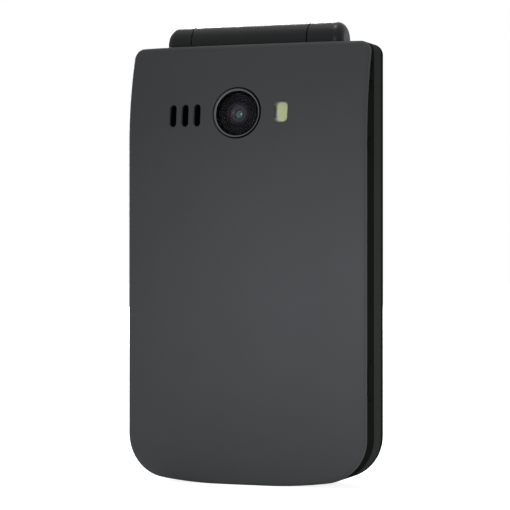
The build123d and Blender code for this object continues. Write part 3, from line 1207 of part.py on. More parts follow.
def lid_screws():
    """Four screws that join the two shells of the lid."""
    low = LID_INNER_Y + BUMPER_SEAT
    seat = low + LID_SCREW_HEAD_DEPTH
    screws = []
    for x, z in BUMPER_PLACES:
        head = rod_y(LID_SCREW_HEAD_RADIUS, x, z, (low, seat))
        shank = rod_y(LID_SCREW_RADIUS, x, z, (seat - LID_SCREW_HEAD_DEPTH / 2, lid_screw_end()))
        screws.append(head + shank)
    return Compound(children=screws)


# ================================================================ assembly
def all_parts():
    """Every piece of the phone by the name of its node."""
    parts = {
        "base_frame": base_frame(),
        "battery_cover": battery_cover(),
        "flash_window": flash_window(),
        "keypad_bezel": keypad_bezel(),
        "rear_housing": rear_housing(),
        "speaker_mesh": speaker_mesh(),
        "base_screws": base_screws(),
        "battery": battery(),
        "battery_contacts": battery_contacts(),
        "main_board": main_board(),
        "keypad_dome_sheet": dome_sheet(),
        "headphone_socket": headphone_socket(),
        "usb_c_socket": usb_socket(),
        "sim_card_socket": card_socket(SIM_X, SIM_WIDTH, SIM_HEIGHT),
        "memory_card_socket": card_socket(MEMORY_X, MEMORY_WIDTH, MEMORY_HEIGHT),
        "shield_can": shield_can(),
        "loudspeaker": loudspeaker(),
        "vibration_motor": vibration_motor(),
        "microphone": microphone(),
        "camera_ring": camera_ring(),
        "camera_window": camera_window(),
        "camera_module": camera_module(),
        "flash_led": flash_led(),
        "volume_rocker": volume_rocker(),
        "nav_ring": nav_ring(),
        "key_ok": ok_key(),
        "hinge_end_caps": hinge_end_caps(),
        "hinge_shaft": hinge_shaft(),
        "hinge_cartridge": hinge_cartridge(),
        "hinge_cam_follower": hinge_cam_follower(),
        "hinge_spring": hinge_spring(),
        "hinge_stub": hinge_stub(),
        "display_cable": display_cable(),
        "lid_frame": lid_frame(),
        "lid_outer_shell": lid_outer_shell(),
        "main_display_window": main_display_window(),
        "main_display": main_display(),
        "display_chassis": display_chassis(),
        "outer_display": outer_display(),
        "outer_display_window": outer_display_window(),
        "earpiece": earpiece(),
        "lid_bumpers": lid_bumpers(),
        "lid_screws": lid_screws(),
    }
    for name, place in key_layout().items():
        parts[name] = rectangular_key(place)
    return parts


if __name__ == "__main__":
    os.makedirs("parts", exist_ok=True)
    for node, shape in all_parts().items():
        export_step(shape, f"parts/{node}.step")
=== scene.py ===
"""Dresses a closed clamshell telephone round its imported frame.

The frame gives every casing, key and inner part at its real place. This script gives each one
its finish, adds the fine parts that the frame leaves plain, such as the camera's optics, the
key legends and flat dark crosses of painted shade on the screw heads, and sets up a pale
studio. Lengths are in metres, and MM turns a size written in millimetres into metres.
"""

from __future__ import annotations

import logging
import math
from dataclasses import dataclass, field
from enum import Enum
from typing import Callable, Iterable, Sequence

import bmesh
import bpy
from mathutils import Matrix, Vector, geometry

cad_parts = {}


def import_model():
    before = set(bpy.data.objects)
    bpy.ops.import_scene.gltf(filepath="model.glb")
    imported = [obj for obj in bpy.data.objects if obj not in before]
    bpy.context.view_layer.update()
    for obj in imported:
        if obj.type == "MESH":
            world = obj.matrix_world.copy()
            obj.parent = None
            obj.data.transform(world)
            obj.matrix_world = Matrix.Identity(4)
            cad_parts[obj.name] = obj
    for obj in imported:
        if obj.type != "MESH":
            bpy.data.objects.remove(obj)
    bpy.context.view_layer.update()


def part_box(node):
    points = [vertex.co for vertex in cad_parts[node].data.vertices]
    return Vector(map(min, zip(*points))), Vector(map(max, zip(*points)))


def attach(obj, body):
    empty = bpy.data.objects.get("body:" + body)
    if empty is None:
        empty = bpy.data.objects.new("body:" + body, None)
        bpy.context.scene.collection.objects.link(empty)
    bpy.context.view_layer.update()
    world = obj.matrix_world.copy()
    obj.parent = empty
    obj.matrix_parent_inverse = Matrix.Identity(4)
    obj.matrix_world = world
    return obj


LOG = logging.getLogger("phone")
MM = 0.001
PER_MM = 1000.0
WELD_DISTANCE = 0.001 * MM
FACING_SHARE = 0.9
SMOOTH_ANGLE = 35.0
FIRST_COLOUR, SECOND_COLOUR = 6, 7  # a Mix node's colour inputs
MIXED_COLOUR = 2  # its colour output

Colour = tuple[float, float, float]
Nodes = bpy.types.ShaderNodeTree


# ------------------------------------------------------------------------------ node helpers
def srgb(red: int, green: int, blue: int) -> Colour:
    """Turns a display colour into the linear one that the shaders take.

    Args:
        red, green, blue: channels from 0 to 255.

    Returns:
        The linear colour.
    """

    def linear(value: int) -> float:
        """Turns one channel."""
        share = value / 255
        return share / 12.92 if share <= 0.04045 else ((share + 0.055) / 1.055) ** 2.4

    return linear(red), linear(green), linear(blue)


def toned(colour: Colour, gain: float, lift: float = 0.0) -> Colour:
    """Gives a colour with each channel multiplied and lifted.

    Args:
        colour: the linear colour.
        gain: what each channel is multiplied by.
        lift: what is added to it then.

    Returns:
        The new colour.
    """
    red, green, blue = (channel * gain + lift for channel in colour)
    return red, green, blue


class Graph:
    """A small wrapper that adds and links the nodes of one node tree."""

    def __init__(self, tree: Nodes) -> None:
        """Wraps a tree.

        Args:
            tree: the material's tree or a node group.
        """
        self.tree = tree

    def add(self, kind: str, **settings: object) -> bpy.types.ShaderNode:
        """Adds a node.

        Args:
            kind: the node's type name, without its ShaderNode prefix.
            **settings: properties to set on it.

        Returns:
            The new node.
        """
        node = self.tree.nodes.new(kind if kind.startswith("Node") else "ShaderNode" + kind)
        for name, value in settings.items():
            setattr(node, name, value)
        return node

    def feed(self, source: object, socket: bpy.types.NodeSocket) -> None:
        """Links an output to a socket, or sets the socket's value.

        Args:
            source: an output socket, a number or a colour.
            socket: the input that takes it.
        """
        if isinstance(source, bpy.types.NodeSocket):
            self.tree.links.new(source, socket)
        elif isinstance(source, tuple) and len(source) == 3 and socket.type == "RGBA":
            socket.default_value = (*source, 1.0)
        else:
            socket.default_value = source

    def maths(
        self, operation: str, *values: object, clamp: bool = False
    ) -> bpy.types.NodeSocket:
        """Adds a Math node.

        Args:
            operation: the operation's name, in capitals.
            *values: its inputs, as sockets or numbers.
            clamp: whether the result is kept between 0 and 1.

        Returns:
            The node's result.
        """
        node = self.add("Math", operation=operation, use_clamp=clamp)
        for value, socket in zip(values, node.inputs):
            self.feed(value, socket)
        return node.outputs[0]

    def blend(self, share: object, first: object, second: object) -> bpy.types.NodeSocket:
        """Mixes two colours.

        Args:
            share: how much of the second colour shows.
            first: the first colour.
            second: the second colour.

        Returns:
            The mixed colour.
        """
        node = self.add("Mix", data_type="RGBA")
        self.feed(share, node.inputs[0])
        self.feed(first, node.inputs[FIRST_COLOUR])
        self.feed(second, node.inputs[SECOND_COLOUR])
        return node.outputs[MIXED_COLOUR]

    def place(self, per_mm: Sequence[float] = (1.0, 1.0, 1.0)) -> bpy.types.NodeSocket:
        """Gives the object's own coordinates, scaled.

        Args:
            per_mm: how many units one millimetre becomes, on each axis.

        Returns:
            The scaled coordinates.
        """
        coordinates = self.add("TexCoord")
        scaled = self.add("Mapping")
        scaled.inputs["Scale"].default_value = [value * PER_MM for value in per_mm]
        self.feed(coordinates.outputs["Object"], scaled.inputs["Vector"])
        return scaled.outputs["Vector"]

    def block(self, middle: Vector, reaches: dict[str, float]) -> bpy.types.NodeSocket:
        """Masks an upright block of space.

        Args:
            middle: the block's centre.
            reaches: half its size along each axis that bounds it.

        Returns:
            A mask that is 1 inside.
        """
        place = self.add("SeparateXYZ")
        self.feed(self.place(), place.inputs["Vector"])
        inside = 1.0
        for axis, reach in reaches.items():
            centre = getattr(middle, axis.lower()) * PER_MM
            away = self.maths("SUBTRACT", place.outputs[axis], centre)
            near = self.maths("LESS_THAN", self.maths("ABSOLUTE", away), reach * PER_MM)
            inside = self.maths("MULTIPLY", near, inside)
        return inside

    def reach(self, middle: Vector) -> bpy.types.NodeSocket:
        """Measures how far a point lies from an axis along Y.

        Args:
            middle: a point on the axis.

        Returns:
            The distance in millimetres.
        """
        place = self.add("SeparateXYZ")
        self.feed(self.place(), place.inputs["Vector"])
        squares = [
            self.maths("POWER", self.maths("SUBTRACT", place.outputs[axis], at * PER_MM), 2.0)
            for axis, at in (("X", middle.x), ("Z", middle.z))
        ]
        return self.maths("SQRT", self.maths("ADD", *squares))

    def vary(
        self, share: object, spread: float, base: object, socket: bpy.types.NodeSocket,
        clamp: bool = False,
    ) -> None:
        """Feeds a socket with a value that grows with a share.

        Args:
            share: from 0 to 1 over the surface.
            spread: how much the value has grown where the share is 1.
            base: the value where the share is 0.
            socket: the input that takes it.
            clamp: whether the value is kept between 0 and 1.
        """
        self.feed(self.maths("MULTIPLY_ADD", share, spread, base, clamp=clamp), socket)

    def bump(
        self, shader: bpy.types.ShaderNode, height: object, depth: float, normal: object = None
    ) -> None:
        """Gives a shader a relief.

        Args:
            shader: takes the bumped normal.
            height: from 0 to 1 over the surface.
            depth: how deep a height of 1 is, in metres.
            normal: the normal that the relief stands on, where it isn't the mesh's own.
        """
        relief = self.add("Bump")
        relief.inputs["Distance"].default_value = depth
        self.feed(height, relief.inputs["Height"])
        if normal is not None:
            self.feed(normal, relief.inputs["Normal"])
        self.feed(relief.outputs["Normal"], shader.inputs["Normal"])

    def seen_directly(self) -> bpy.types.NodeSocket:
        """Gives 1 for rays from the camera, off glossy surfaces or through clear ones."""
        path = self.add("LightPath").outputs
        seen = self.maths("MAXIMUM", path["Is Camera Ray"], path["Is Glossy Ray"])
        return self.maths("MAXIMUM", seen, path["Is Transmission Ray"])

    def group(self, tree: Nodes, **values: object) -> bpy.types.ShaderNode:
        """Places a shared node group.

        Args:
            tree: the group.
            **values: its inputs by name, with underscores for spaces.

        Returns:
            The group node.
        """
        node = self.add("Group", node_tree=tree)
        for name, value in values.items():
            self.feed(value, node.inputs[name.replace("_", " ")])
        return node


def new_group(
    name: str, inputs: dict[str, float], outputs: dict[str, str]
) -> tuple[Nodes, Graph]:
    """Makes an empty shared node group.

    Args:
        name: the group's name.
        inputs: each input's name and default value.
        outputs: each output's name and socket type, such as Float or Vector.

    Returns:
        The group and a graph that wraps it.
    """
    tree = bpy.data.node_groups.new(name, "ShaderNodeTree")
    for label, value in inputs.items():
        socket = tree.interface.new_socket(label, in_out="INPUT", socket_type="NodeSocketFloat")
        socket.default_value = value
    for label, kind in outputs.items():
        tree.interface.new_socket(label, in_out="OUTPUT", socket_type=f"NodeSocket{kind}")
    return tree, Graph(tree)


class SharedEffects:
    """The node groups that several finishes share, each built once."""

    pit_share: float = 0.7
    grain_height: float = 0.6
    grain_detail: float = 2.0
    drift_detail: float = 4.0
    bevel_samples: int = 4

    def __init__(self) -> None:
        """Builds the groups."""
        self.grain = self._grain()
        self.edges = self._edges()
        self.drift = self._drift()

    def _grain(self) -> Nodes:
        """Builds the fine texture of a moulded surface.

        Returns:
            The group, with a height from 0 to 1.
        """
        tree, graph = new_group(
            "Moulded grain", {"Grains Per Mm": 6.0, "Softness": 0.5}, {"Height": "Float"}
        )
        start = graph.add("NodeGroupInput")
        end = graph.add("NodeGroupOutput")
        pits = graph.add("TexVoronoi", feature="SMOOTH_F1")
        cloud = graph.add("TexNoise")
        for texture in (pits, cloud):
            graph.feed(graph.place(), texture.inputs["Vector"])
            graph.feed(start.outputs["Grains Per Mm"], texture.inputs["Scale"])
        graph.feed(start.outputs["Softness"], pits.inputs["Smoothness"])
        cloud.inputs["Detail"].default_value = self.grain_detail
        height = graph.maths(
            "MULTIPLY_ADD", pits.outputs["Distance"], self.pit_share, cloud.outputs["Fac"]
        )
        scaled = graph.maths("MULTIPLY", height, self.grain_height, clamp=True)
        graph.feed(scaled, end.inputs["Height"])
        return tree

    def _edges(self) -> Nodes:
        """Builds the rounding of sharp edges and their mask, which the plastics use for polish
        and for painted edge light.

        Returns:
            The group, with a rounded normal and a mask that is 1 on sharp edges.
        """
        tree, graph = new_group(
            "Handled edges",
            {"Radius": 0.15 * MM, "Gain": 2.5},
            {"Mask": "Float", "Normal": "Vector"},
        )
        start = graph.add("NodeGroupInput")
        end = graph.add("NodeGroupOutput")
        bevel = graph.add("Bevel", samples=self.bevel_samples)
        surface = graph.add("NewGeometry")
        likeness = graph.add("VectorMath", operation="DOT_PRODUCT")
        graph.feed(start.outputs["Radius"], bevel.inputs["Radius"])
        graph.feed(bevel.outputs["Normal"], likeness.inputs[0])
        graph.feed(surface.outputs["Normal"], likeness.inputs[1])
        turned = graph.maths("SUBTRACT", 1.0, likeness.outputs["Value"])
        mask = graph.maths("MULTIPLY", turned, start.outputs["Gain"], clamp=True)
        graph.feed(mask, end.inputs["Mask"])
        graph.feed(bevel.outputs["Normal"], end.inputs["Normal"])
        return tree

    def _drift(self) -> Nodes:
        """Builds the slow drift of tone over a moulded or rolled surface.

        Returns:
            The group, with a share from 0 to 1.
        """
        tree, graph = new_group(
            "Slow drift", {"Waves Per Mm": 0.08, "Contrast": 1.0}, {"Share": "Float"}
        )
        start = graph.add("NodeGroupInput")
        end = graph.add("NodeGroupOutput")
        cloud = graph.add("TexNoise")
        graph.feed(graph.place(), cloud.inputs["Vector"])
        graph.feed(start.outputs["Waves Per Mm"], cloud.inputs["Scale"])
        cloud.inputs["Detail"].default_value = self.drift_detail
        centred = graph.maths("SUBTRACT", cloud.outputs["Fac"], 0.5)
        share = graph.maths("MULTIPLY_ADD", centred, start.outputs["Contrast"], 0.5, clamp=True)
        graph.feed(share, end.inputs["Share"])
        return tree


# ------------------------------------------------------------------------------ finishes
@dataclass(frozen=True)
class Finish:
    """What every finish has: its name and its base colour."""

    name: str
    colour: Colour

    def paint(self, graph: Graph, shader: bpy.types.ShaderNode, shared: SharedEffects) -> None:
        """Sets up the shader of this finish.

        Args:
            graph: the material's graph.
            shader: its Principled BSDF.
            shared: the shared node groups.
        """
        raise NotImplementedError

    def material(self, shared: SharedEffects) -> bpy.types.Material:
        """Makes the material, or gives the one made before.

        Args:
            shared: the shared node groups.

        Returns:
            The material.
        """
        made = bpy.data.materials.get(self.name)
        if made is None:
            made = bpy.data.materials.new(self.name)
            made.use_nodes = True
            graph = Graph(made.node_tree)
            self.paint(graph, made.node_tree.nodes["Principled BSDF"], shared)
            made.diffuse_color = (*self.colour, 1.0)
        return made


@dataclass(frozen=True)
class MouldedPlastic(Finish):
    """Injection-moulded plastic with a fine grain and softened edges with a slight polish; the
    edge colour is painted light:
    a painted highlight where the edge gain is above 1, painted shade where it is below.
    """

    roughness: float = 0.5
    grains_per_mm: float = 7.0
    grain_depth: float = 0.006 * MM
    edge_radius: float = 0.15 * MM
    # Gain on the colour at sharp edges: above 1 it paints a highlight there, below 1 it paints
    # shade.
    edge_tone: float = 1.25
    edge_polish: float = 0.12
    drift_tone: float = 1.08
    drift_contrast: float = 1.6
    drift_spread: float = 0.05
    gloss: float = 0.5

    def paint(self, graph: Graph, shader: bpy.types.ShaderNode, shared: SharedEffects) -> None:
        """Sets up grain, drift and edges, whose colour carries painted light. See Finish.paint.
        """
        grain = graph.group(shared.grain, Grains_Per_Mm=self.grains_per_mm)
        edges = graph.group(shared.edges, Radius=self.edge_radius)
        drift = graph.group(shared.drift, Contrast=self.drift_contrast)
        drifted = toned(self.colour, self.drift_tone)
        # The edge colour is painted light: lighter than the body for a painted highlight, darker
        # for painted shade.
        edge_lit_colour = toned(self.colour, self.edge_tone)
        body = graph.blend(drift.outputs["Share"], self.colour, drifted)
        tone = graph.blend(edges.outputs["Mask"], body, edge_lit_colour)
        graph.feed(tone, shader.inputs["Base Color"])
        worn = graph.maths(
            "MULTIPLY_ADD", edges.outputs["Mask"], -self.edge_polish, self.roughness
        )
        rough = shader.inputs["Roughness"]
        graph.vary(drift.outputs["Share"], self.drift_spread, worn, rough, clamp=True)
        graph.bump(shader, grain.outputs["Height"], self.grain_depth, edges.outputs["Normal"])
        shader.inputs["Specular IOR Level"].default_value = self.gloss


@dataclass(frozen=True)
class Metal(Finish):
    """Bare, plated or anodised metal, with streaks along one axis where it is drawn or rolled."""

    roughness: float = 0.3
    streaks: tuple[float, float, float] = (2.0, 2.0, 2.0)
    streaks_per_mm: float = 3.0
    streak_spread: float = 0.18
    streak_depth: float = 0.002 * MM
    edge_radius: float = 0.06 * MM
    drift_per_mm: float = 0.4
    dull_tone: float = 0.85

    def paint(self, graph: Graph, shader: bpy.types.ShaderNode, shared: SharedEffects) -> None:
        """Sets up streaks and edges. See Finish.paint."""
        streak = graph.add("TexNoise")
        graph.feed(graph.place(self.streaks), streak.inputs["Vector"])
        streak.inputs["Scale"].default_value = self.streaks_per_mm
        edges = graph.group(shared.edges, Radius=self.edge_radius)
        drift = graph.group(shared.drift, Waves_Per_Mm=self.drift_per_mm)
        dull = toned(self.colour, self.dull_tone)
        tone = graph.blend(drift.outputs["Share"], self.colour, dull)
        graph.feed(tone, shader.inputs["Base Color"])
        rough = shader.inputs["Roughness"]
        graph.vary(streak.outputs["Fac"], self.streak_spread, self.roughness, rough, clamp=True)
        graph.bump(shader, streak.outputs["Fac"], self.streak_depth, edges.outputs["Normal"])
        shader.inputs["Metallic"].default_value = 1.0


@dataclass(frozen=True)
class BackedGlass(Finish):
    """A glossy window over black print, with a dark display behind its clear part."""

    display: str = ""
    panel: Colour = (0.006, 0.007, 0.009)
    roughness: float = 0.06
    smear_spread: float = 0.08
    smears_per_mm: float = 0.25
    smear_contrast: float = 2.0
    smear_share: float = 0.3
    smear_gain: float = 1.6
    smear_lift: float = 0.002
    edge_radius: float = 0.1 * MM
    gloss: float = 0.06

    def paint(self, graph: Graph, shader: bpy.types.ShaderNode, shared: SharedEffects) -> None:
        """Sets up a dark gloss with faint smears. See Finish.paint."""
        smears = graph.group(
            shared.drift, Waves_Per_Mm=self.smears_per_mm, Contrast=self.smear_contrast
        ).outputs["Share"]
        edges = graph.group(shared.edges, Radius=self.edge_radius)
        graph.vary(smears, self.smear_spread, self.roughness, shader.inputs["Roughness"])
        shade: object = self.colour
        if self.display:
            low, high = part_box(self.display)
            reach = (high - low) / 2
            clear = graph.block((low + high) / 2, {"X": reach.x, "Z": reach.z})
            shade = graph.blend(clear, self.colour, self.panel)
        lifted = toned(self.colour, self.smear_gain, self.smear_lift)
        share = graph.maths("MULTIPLY", smears, self.smear_share)
        graph.feed(graph.blend(share, shade, lifted), shader.inputs["Base Color"])
        graph.feed(edges.outputs["Normal"], shader.inputs["Normal"])
        shader.inputs["Specular IOR Level"].default_value = self.gloss


@dataclass(frozen=True)
class ClearGlass(Finish):
    """Clear moulded or ground glass."""

    roughness: float = 0.0
    gloss: float = 0.5
    specks_per_mm: float = 1.5
    speck_contrast: float = 3.0
    speck_spread: float = 0.02

    def paint(self, graph: Graph, shader: bpy.types.ShaderNode, shared: SharedEffects) -> None:
        """Sets up plain transmission. See Finish.paint."""
        specks = graph.group(
            shared.drift, Waves_Per_Mm=self.specks_per_mm, Contrast=self.speck_contrast
        ).outputs["Share"]
        graph.vary(specks, self.speck_spread, self.roughness, shader.inputs["Roughness"])
        shader.inputs["Base Color"].default_value = (*self.colour, 1.0)
        shader.inputs["Transmission Weight"].default_value = 1.0
        shader.inputs["Specular IOR Level"].default_value = self.gloss


@dataclass(frozen=True)
class CoatedPane(Finish):
    """A thin clear pane with an anti-reflection coating."""

    veil: float = 0.05
    smears_per_mm: float = 0.6
    smear_contrast: float = 2.0
    roughness: float = 0.05

    def paint(self, graph: Graph, shader: bpy.types.ShaderNode, shared: SharedEffects) -> None:
        """Sets up a faint veil of smears. See Finish.paint."""
        smears = graph.group(
            shared.drift, Waves_Per_Mm=self.smears_per_mm, Contrast=self.smear_contrast
        ).outputs["Share"]
        graph.vary(smears, self.veil, self.veil / 2, shader.inputs["Alpha"])
        shader.inputs["Base Color"].default_value = (*self.colour, 1.0)
        shader.inputs["Roughness"].default_value = self.roughness


@dataclass(frozen=True)
class GroovedRing(Metal):
    """A turned metal ring with a thin bright land between a black inner groove and a black outer
    band.
    The outer band is painted shadow of the gap round the ring, set off-centre so that it is wider
    at the lower right.
    """

    node: str = "camera_ring"
    land_from_mm: float = 5.13
    land_to_mm: float = 5.5
    # Moves the centre of the painted shadow's inner edge up and to the left, so the shadow is
    # wider at the lower right.
    gap_shadow_shift: tuple[float, float] = (-0.12 * MM, 0.09 * MM)
    # Colour of the inner groove and of the painted shadow round the ring.
    groove_and_gap_shadow: Colour = (0.0015, 0.0015, 0.002)

    def paint(self, graph: Graph, shader: bpy.types.ShaderNode, shared: SharedEffects) -> None:
        """Sets up the land, the inner groove and the painted shadow round the ring. See
        Finish.paint.
        """
        super().paint(graph, shader, shared)
        low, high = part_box(self.node)
        middle = (low + high) / 2
        # Inside the land lies the groove; outside this off-centre circle lies the painted shadow
        # of the gap.
        gap_shadow_middle = middle + Vector((self.gap_shadow_shift[0], 0, self.gap_shadow_shift[1]))
        raised = graph.maths("GREATER_THAN", graph.reach(middle), self.land_from_mm)
        bounded = graph.maths("LESS_THAN", graph.reach(gap_shadow_middle), self.land_to_mm)
        turned = shader.inputs["Base Color"].links[0].from_socket
        land = graph.maths("MULTIPLY", raised, bounded)
        graph.feed(graph.blend(land, self.groove_and_gap_shadow, turned), shader.inputs["Base Color"])


@dataclass(frozen=True)
class CoatedLens(Finish):
    """A coated optical surface with a mottled tint and coloured reflections."""

    tint: Colour = (0.05, 0.03, 0.09)
    roughness: float = 0.1
    gloss: float = 0.6
    coating: Colour = (0.65, 1.0, 0.95)
    mottles_per_mm: float = 0.9
    mottle_contrast: float = 2.0
    mottle_spread: float = 0.04

    def paint(self, graph: Graph, shader: bpy.types.ShaderNode, shared: SharedEffects) -> None:
        """Sets up the coating. See Finish.paint."""
        mottle = graph.group(
            shared.drift, Waves_Per_Mm=self.mottles_per_mm, Contrast=self.mottle_contrast
        ).outputs["Share"]
        graph.feed(graph.blend(mottle, self.colour, self.tint), shader.inputs["Base Color"])
        graph.vary(mottle, self.mottle_spread, self.roughness, shader.inputs["Roughness"])
        shader.inputs["Specular IOR Level"].default_value = self.gloss
        shader.inputs["Specular Tint"].default_value = (*self.coating, 1.0)


@dataclass(frozen=True)
class Phosphor(Finish):
    """The pale yellow chips of a flash lamp under their moulded dome."""

    gap: Colour = (0.30, 0.31, 0.27)
    gap_share: float = 0.25
    mottles_per_mm: float = 2.2
    mottle_contrast: float = 2.6
    grains_per_mm: float = 9.0
    grain_depth: float = 0.02 * MM
    roughness: float = 0.45

    def paint(self, graph: Graph, shader: bpy.types.ShaderNode, shared: SharedEffects) -> None:
        """Sets up a mottled powder coat. See Finish.paint."""
        mottle = graph.group(
            shared.drift, Waves_Per_Mm=self.mottles_per_mm, Contrast=self.mottle_contrast
        )
        grain = graph.group(shared.grain, Grains_Per_Mm=self.grains_per_mm)
        tone = graph.blend(mottle.outputs["Share"], self.colour, self.gap)
        graph.feed(graph.blend(self.gap_share, self.colour, tone), shader.inputs["Base Color"])
        graph.bump(shader, grain.outputs["Height"], self.grain_depth)
        shader.inputs["Roughness"].default_value = self.roughness


@dataclass(frozen=True)
class WovenMesh(Finish):
    """Fine woven dust mesh."""

    threads_per_mm: float = 5.0
    thread_depth: float = 0.05 * MM
    # How much lighter the threads are where they cross: a painted highlight.
    crossing_highlight_gain: float = 3.0
    roughness: float = 0.8
    gloss: float = 0.02

    def paint(self, graph: Graph, shader: bpy.types.ShaderNode, shared: SharedEffects) -> None:
        """Sets up crossed threads, with a painted highlight where they cross. See Finish.paint.
        """
        heights = []
        for axis in ("X", "Z"):
            wave = graph.add("TexWave", bands_direction=axis)
            graph.feed(graph.place(), wave.inputs["Vector"])
            wave.inputs["Scale"].default_value = self.threads_per_mm
            heights.append(wave.outputs["Fac"])
        weave = graph.maths("MULTIPLY", *heights)
        # Lighter where the threads cross: painted highlight.
        lit = toned(self.colour, self.crossing_highlight_gain)
        graph.feed(graph.blend(weave, self.colour, lit), shader.inputs["Base Color"])
        graph.bump(shader, weave, self.thread_depth)
        shader.inputs["Roughness"].default_value = self.roughness
        shader.inputs["Specular IOR Level"].default_value = self.gloss


@dataclass(frozen=True)
class BoardLaminate(Finish):
    """Solder mask over copper tracks."""

    cells_per_mm: float = 0.6
    track_share: float = 0.06
    track_gain: float = 1.8
    track_lift: float = 0.01
    track_height: float = 0.03 * MM
    roughness: float = 0.35

    def paint(self, graph: Graph, shader: bpy.types.ShaderNode, shared: SharedEffects) -> None:
        """Sets up raised tracks. See Finish.paint."""
        cells = graph.add("TexVoronoi", distance="MANHATTAN", feature="DISTANCE_TO_EDGE")
        graph.feed(graph.place(), cells.inputs["Vector"])
        cells.inputs["Scale"].default_value = self.cells_per_mm
        track = graph.maths("LESS_THAN", cells.outputs["Distance"], self.track_share)
        copper = toned(self.colour, self.track_gain, self.track_lift)
        graph.feed(graph.blend(track, self.colour, copper), shader.inputs["Base Color"])
        graph.bump(shader, track, self.track_height)
        shader.inputs["Roughness"].default_value = self.roughness


@dataclass(frozen=True)
class SocketShell(Finish):
    """Plated shell of the charging socket round a dark moulded tongue."""

    tongue: Colour = (0.012, 0.012, 0.013)
    half_depth: float = 0.42 * MM
    half_height: float = 3.4 * MM
    roughness: float = 0.28
    drift_per_mm: float = 0.8
    drift_spread: float = 0.2

    def paint(self, graph: Graph, shader: bpy.types.ShaderNode, shared: SharedEffects) -> None:
        """Sets up metal outside the tongue's block and plastic in it. See Finish.paint."""
        low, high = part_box("usb_c_socket")
        middle = (low + high) / 2
        inside = graph.block(middle, {"Y": self.half_depth, "Z": self.half_height})
        graph.feed(graph.blend(inside, self.colour, self.tongue), shader.inputs["Base Color"])
        graph.feed(graph.maths("SUBTRACT", 1.0, inside), shader.inputs["Metallic"])
        drift = graph.group(shared.drift, Waves_Per_Mm=self.drift_per_mm).outputs["Share"]
        graph.vary(drift, self.drift_spread, self.roughness, shader.inputs["Roughness"])


class Finishes:
    """Every finish of the telephone by name."""

    def __init__(self) -> None:
        """Lists the finishes."""
        self._list_outer_plastics()
        self._list_inner_plastics()
        self._list_metals()
        self._list_glass()
        self.mesh = WovenMesh("Dust mesh", (0.0006, 0.0007, 0.0009))
        self.laminate = BoardLaminate("Solder mask", srgb(20, 84, 52))
        self.socket = SocketShell("Socket shell", srgb(34, 34, 34))

    def _list_outer_plastics(self) -> None:
        """Lists the plastics that are seen when the telephone is closed or opened."""
        moulded = MouldedPlastic
        # The cover's rounded rim is darkened by an edge gain below 1: painted shade.
        self.cover = moulded(
            "Cover plastic", srgb(70, 72, 74), roughness=0.55, gloss=0.05, edge_tone=0.8
        )
        self.band = moulded(
            "Side band plastic", srgb(29, 31, 28), roughness=0.6, gloss=0.0, edge_tone=1.0
        )
        # The lid's edges are slightly darkened by an edge gain below 1: painted shade.
        self.lid = moulded(
            "Lid plastic", srgb(58, 60, 59), roughness=0.6, gloss=0.0, edge_tone=0.9
        )
        self.lid_back = moulded("Lid back plastic", srgb(28, 29, 28), roughness=0.6, gloss=0.0)
        self.hinge = moulded(
            "Hinge plastic", srgb(30, 31, 32), roughness=0.35, gloss=0.14, edge_tone=1.0
        )
        self.bezel = moulded("Bezel plastic", srgb(38, 40, 42), roughness=0.4, gloss=0.15)
        self.keys = moulded(
            "Key plastic", srgb(20, 21, 23), roughness=0.32, edge_radius=0.3 * MM, gloss=0.1
        )
        self.legend = moulded("Legend white", srgb(214, 217, 220))
        self.legend_call = moulded("Legend green", srgb(64, 176, 92))
        self.legend_end = moulded("Legend red", srgb(204, 58, 50))

    def _list_inner_plastics(self) -> None:
        """Lists the plastics, films and prints inside the casings."""
        moulded = MouldedPlastic
        self.inner = moulded("Inner plastic", srgb(26, 26, 28), roughness=0.55)
        self.cell = moulded(
            "Battery wrap", srgb(96, 99, 104), roughness=0.38, grains_per_mm=3.0
        )
        self.label = moulded("Battery label", srgb(176, 178, 180))
        self.rubber = moulded("Soft rubber", srgb(34, 34, 35), roughness=0.8, gloss=0.2)
        self.tray = moulded("Flash tray", srgb(128, 126, 136), roughness=0.4)
        self.film = moulded("White film", srgb(212, 212, 206), roughness=0.45)
        self.flex = moulded("Amber film", srgb(160, 96, 32), roughness=0.35)
        # Near-black plastic; on the screw heads it serves as painted shade of their cross
        # recesses.
        self.recess = moulded("Dark recess", srgb(9, 9, 10), roughness=0.7, gloss=0.0)
        self.print_black = moulded("Black print", srgb(8, 8, 10), roughness=0.4, gloss=0.04)
        self.barrel = moulded("Lens barrel", srgb(22, 22, 26), roughness=0.4, gloss=0.1)

    def _list_metals(self) -> None:
        """Lists the metals."""
        self.ring = GroovedRing("Dark anodised ring", srgb(80, 82, 82), roughness=0.34)
        self.steel = Metal("Steel", srgb(190, 190, 188), roughness=0.28)
        self.tin = Metal(
            "Tin plate", srgb(200, 200, 196), roughness=0.35, streaks=(0.5, 4.0, 4.0)
        )
        self.gold = Metal("Gold flash", srgb(226, 190, 112), roughness=0.22)

    def _list_glass(self) -> None:
        """Lists the windows, the displays, the optics and the flash."""
        black = (0.003, 0.003, 0.004)
        self.main_window = BackedGlass("Main window", black, display="main_display")
        self.outer_window = BackedGlass("Outer window", black, display="outer_display")
        self.screen = BackedGlass("Display panel", (0.012, 0.013, 0.016), roughness=0.12)
        self.clear = CoatedPane("Camera glass", (0.02, 0.02, 0.03))
        self.guide = ClearGlass("Flash guide", (0.9, 0.92, 0.9), roughness=0.1, gloss=0.3)
        self.lens = CoatedLens(
            "Coated lens", (0.001, 0.002, 0.003), tint=(0.001, 0.003, 0.004), roughness=0.24,
            gloss=1.0,
        )
        self.bowl = CoatedLens(
            "Lens bowl", (0.002, 0.002, 0.003), tint=(0.005, 0.004, 0.009), roughness=0.3,
            gloss=0.5, coating=(0.8, 0.74, 1.0),
        )
        self.phosphor = Phosphor("Phosphor", srgb(204, 212, 150))


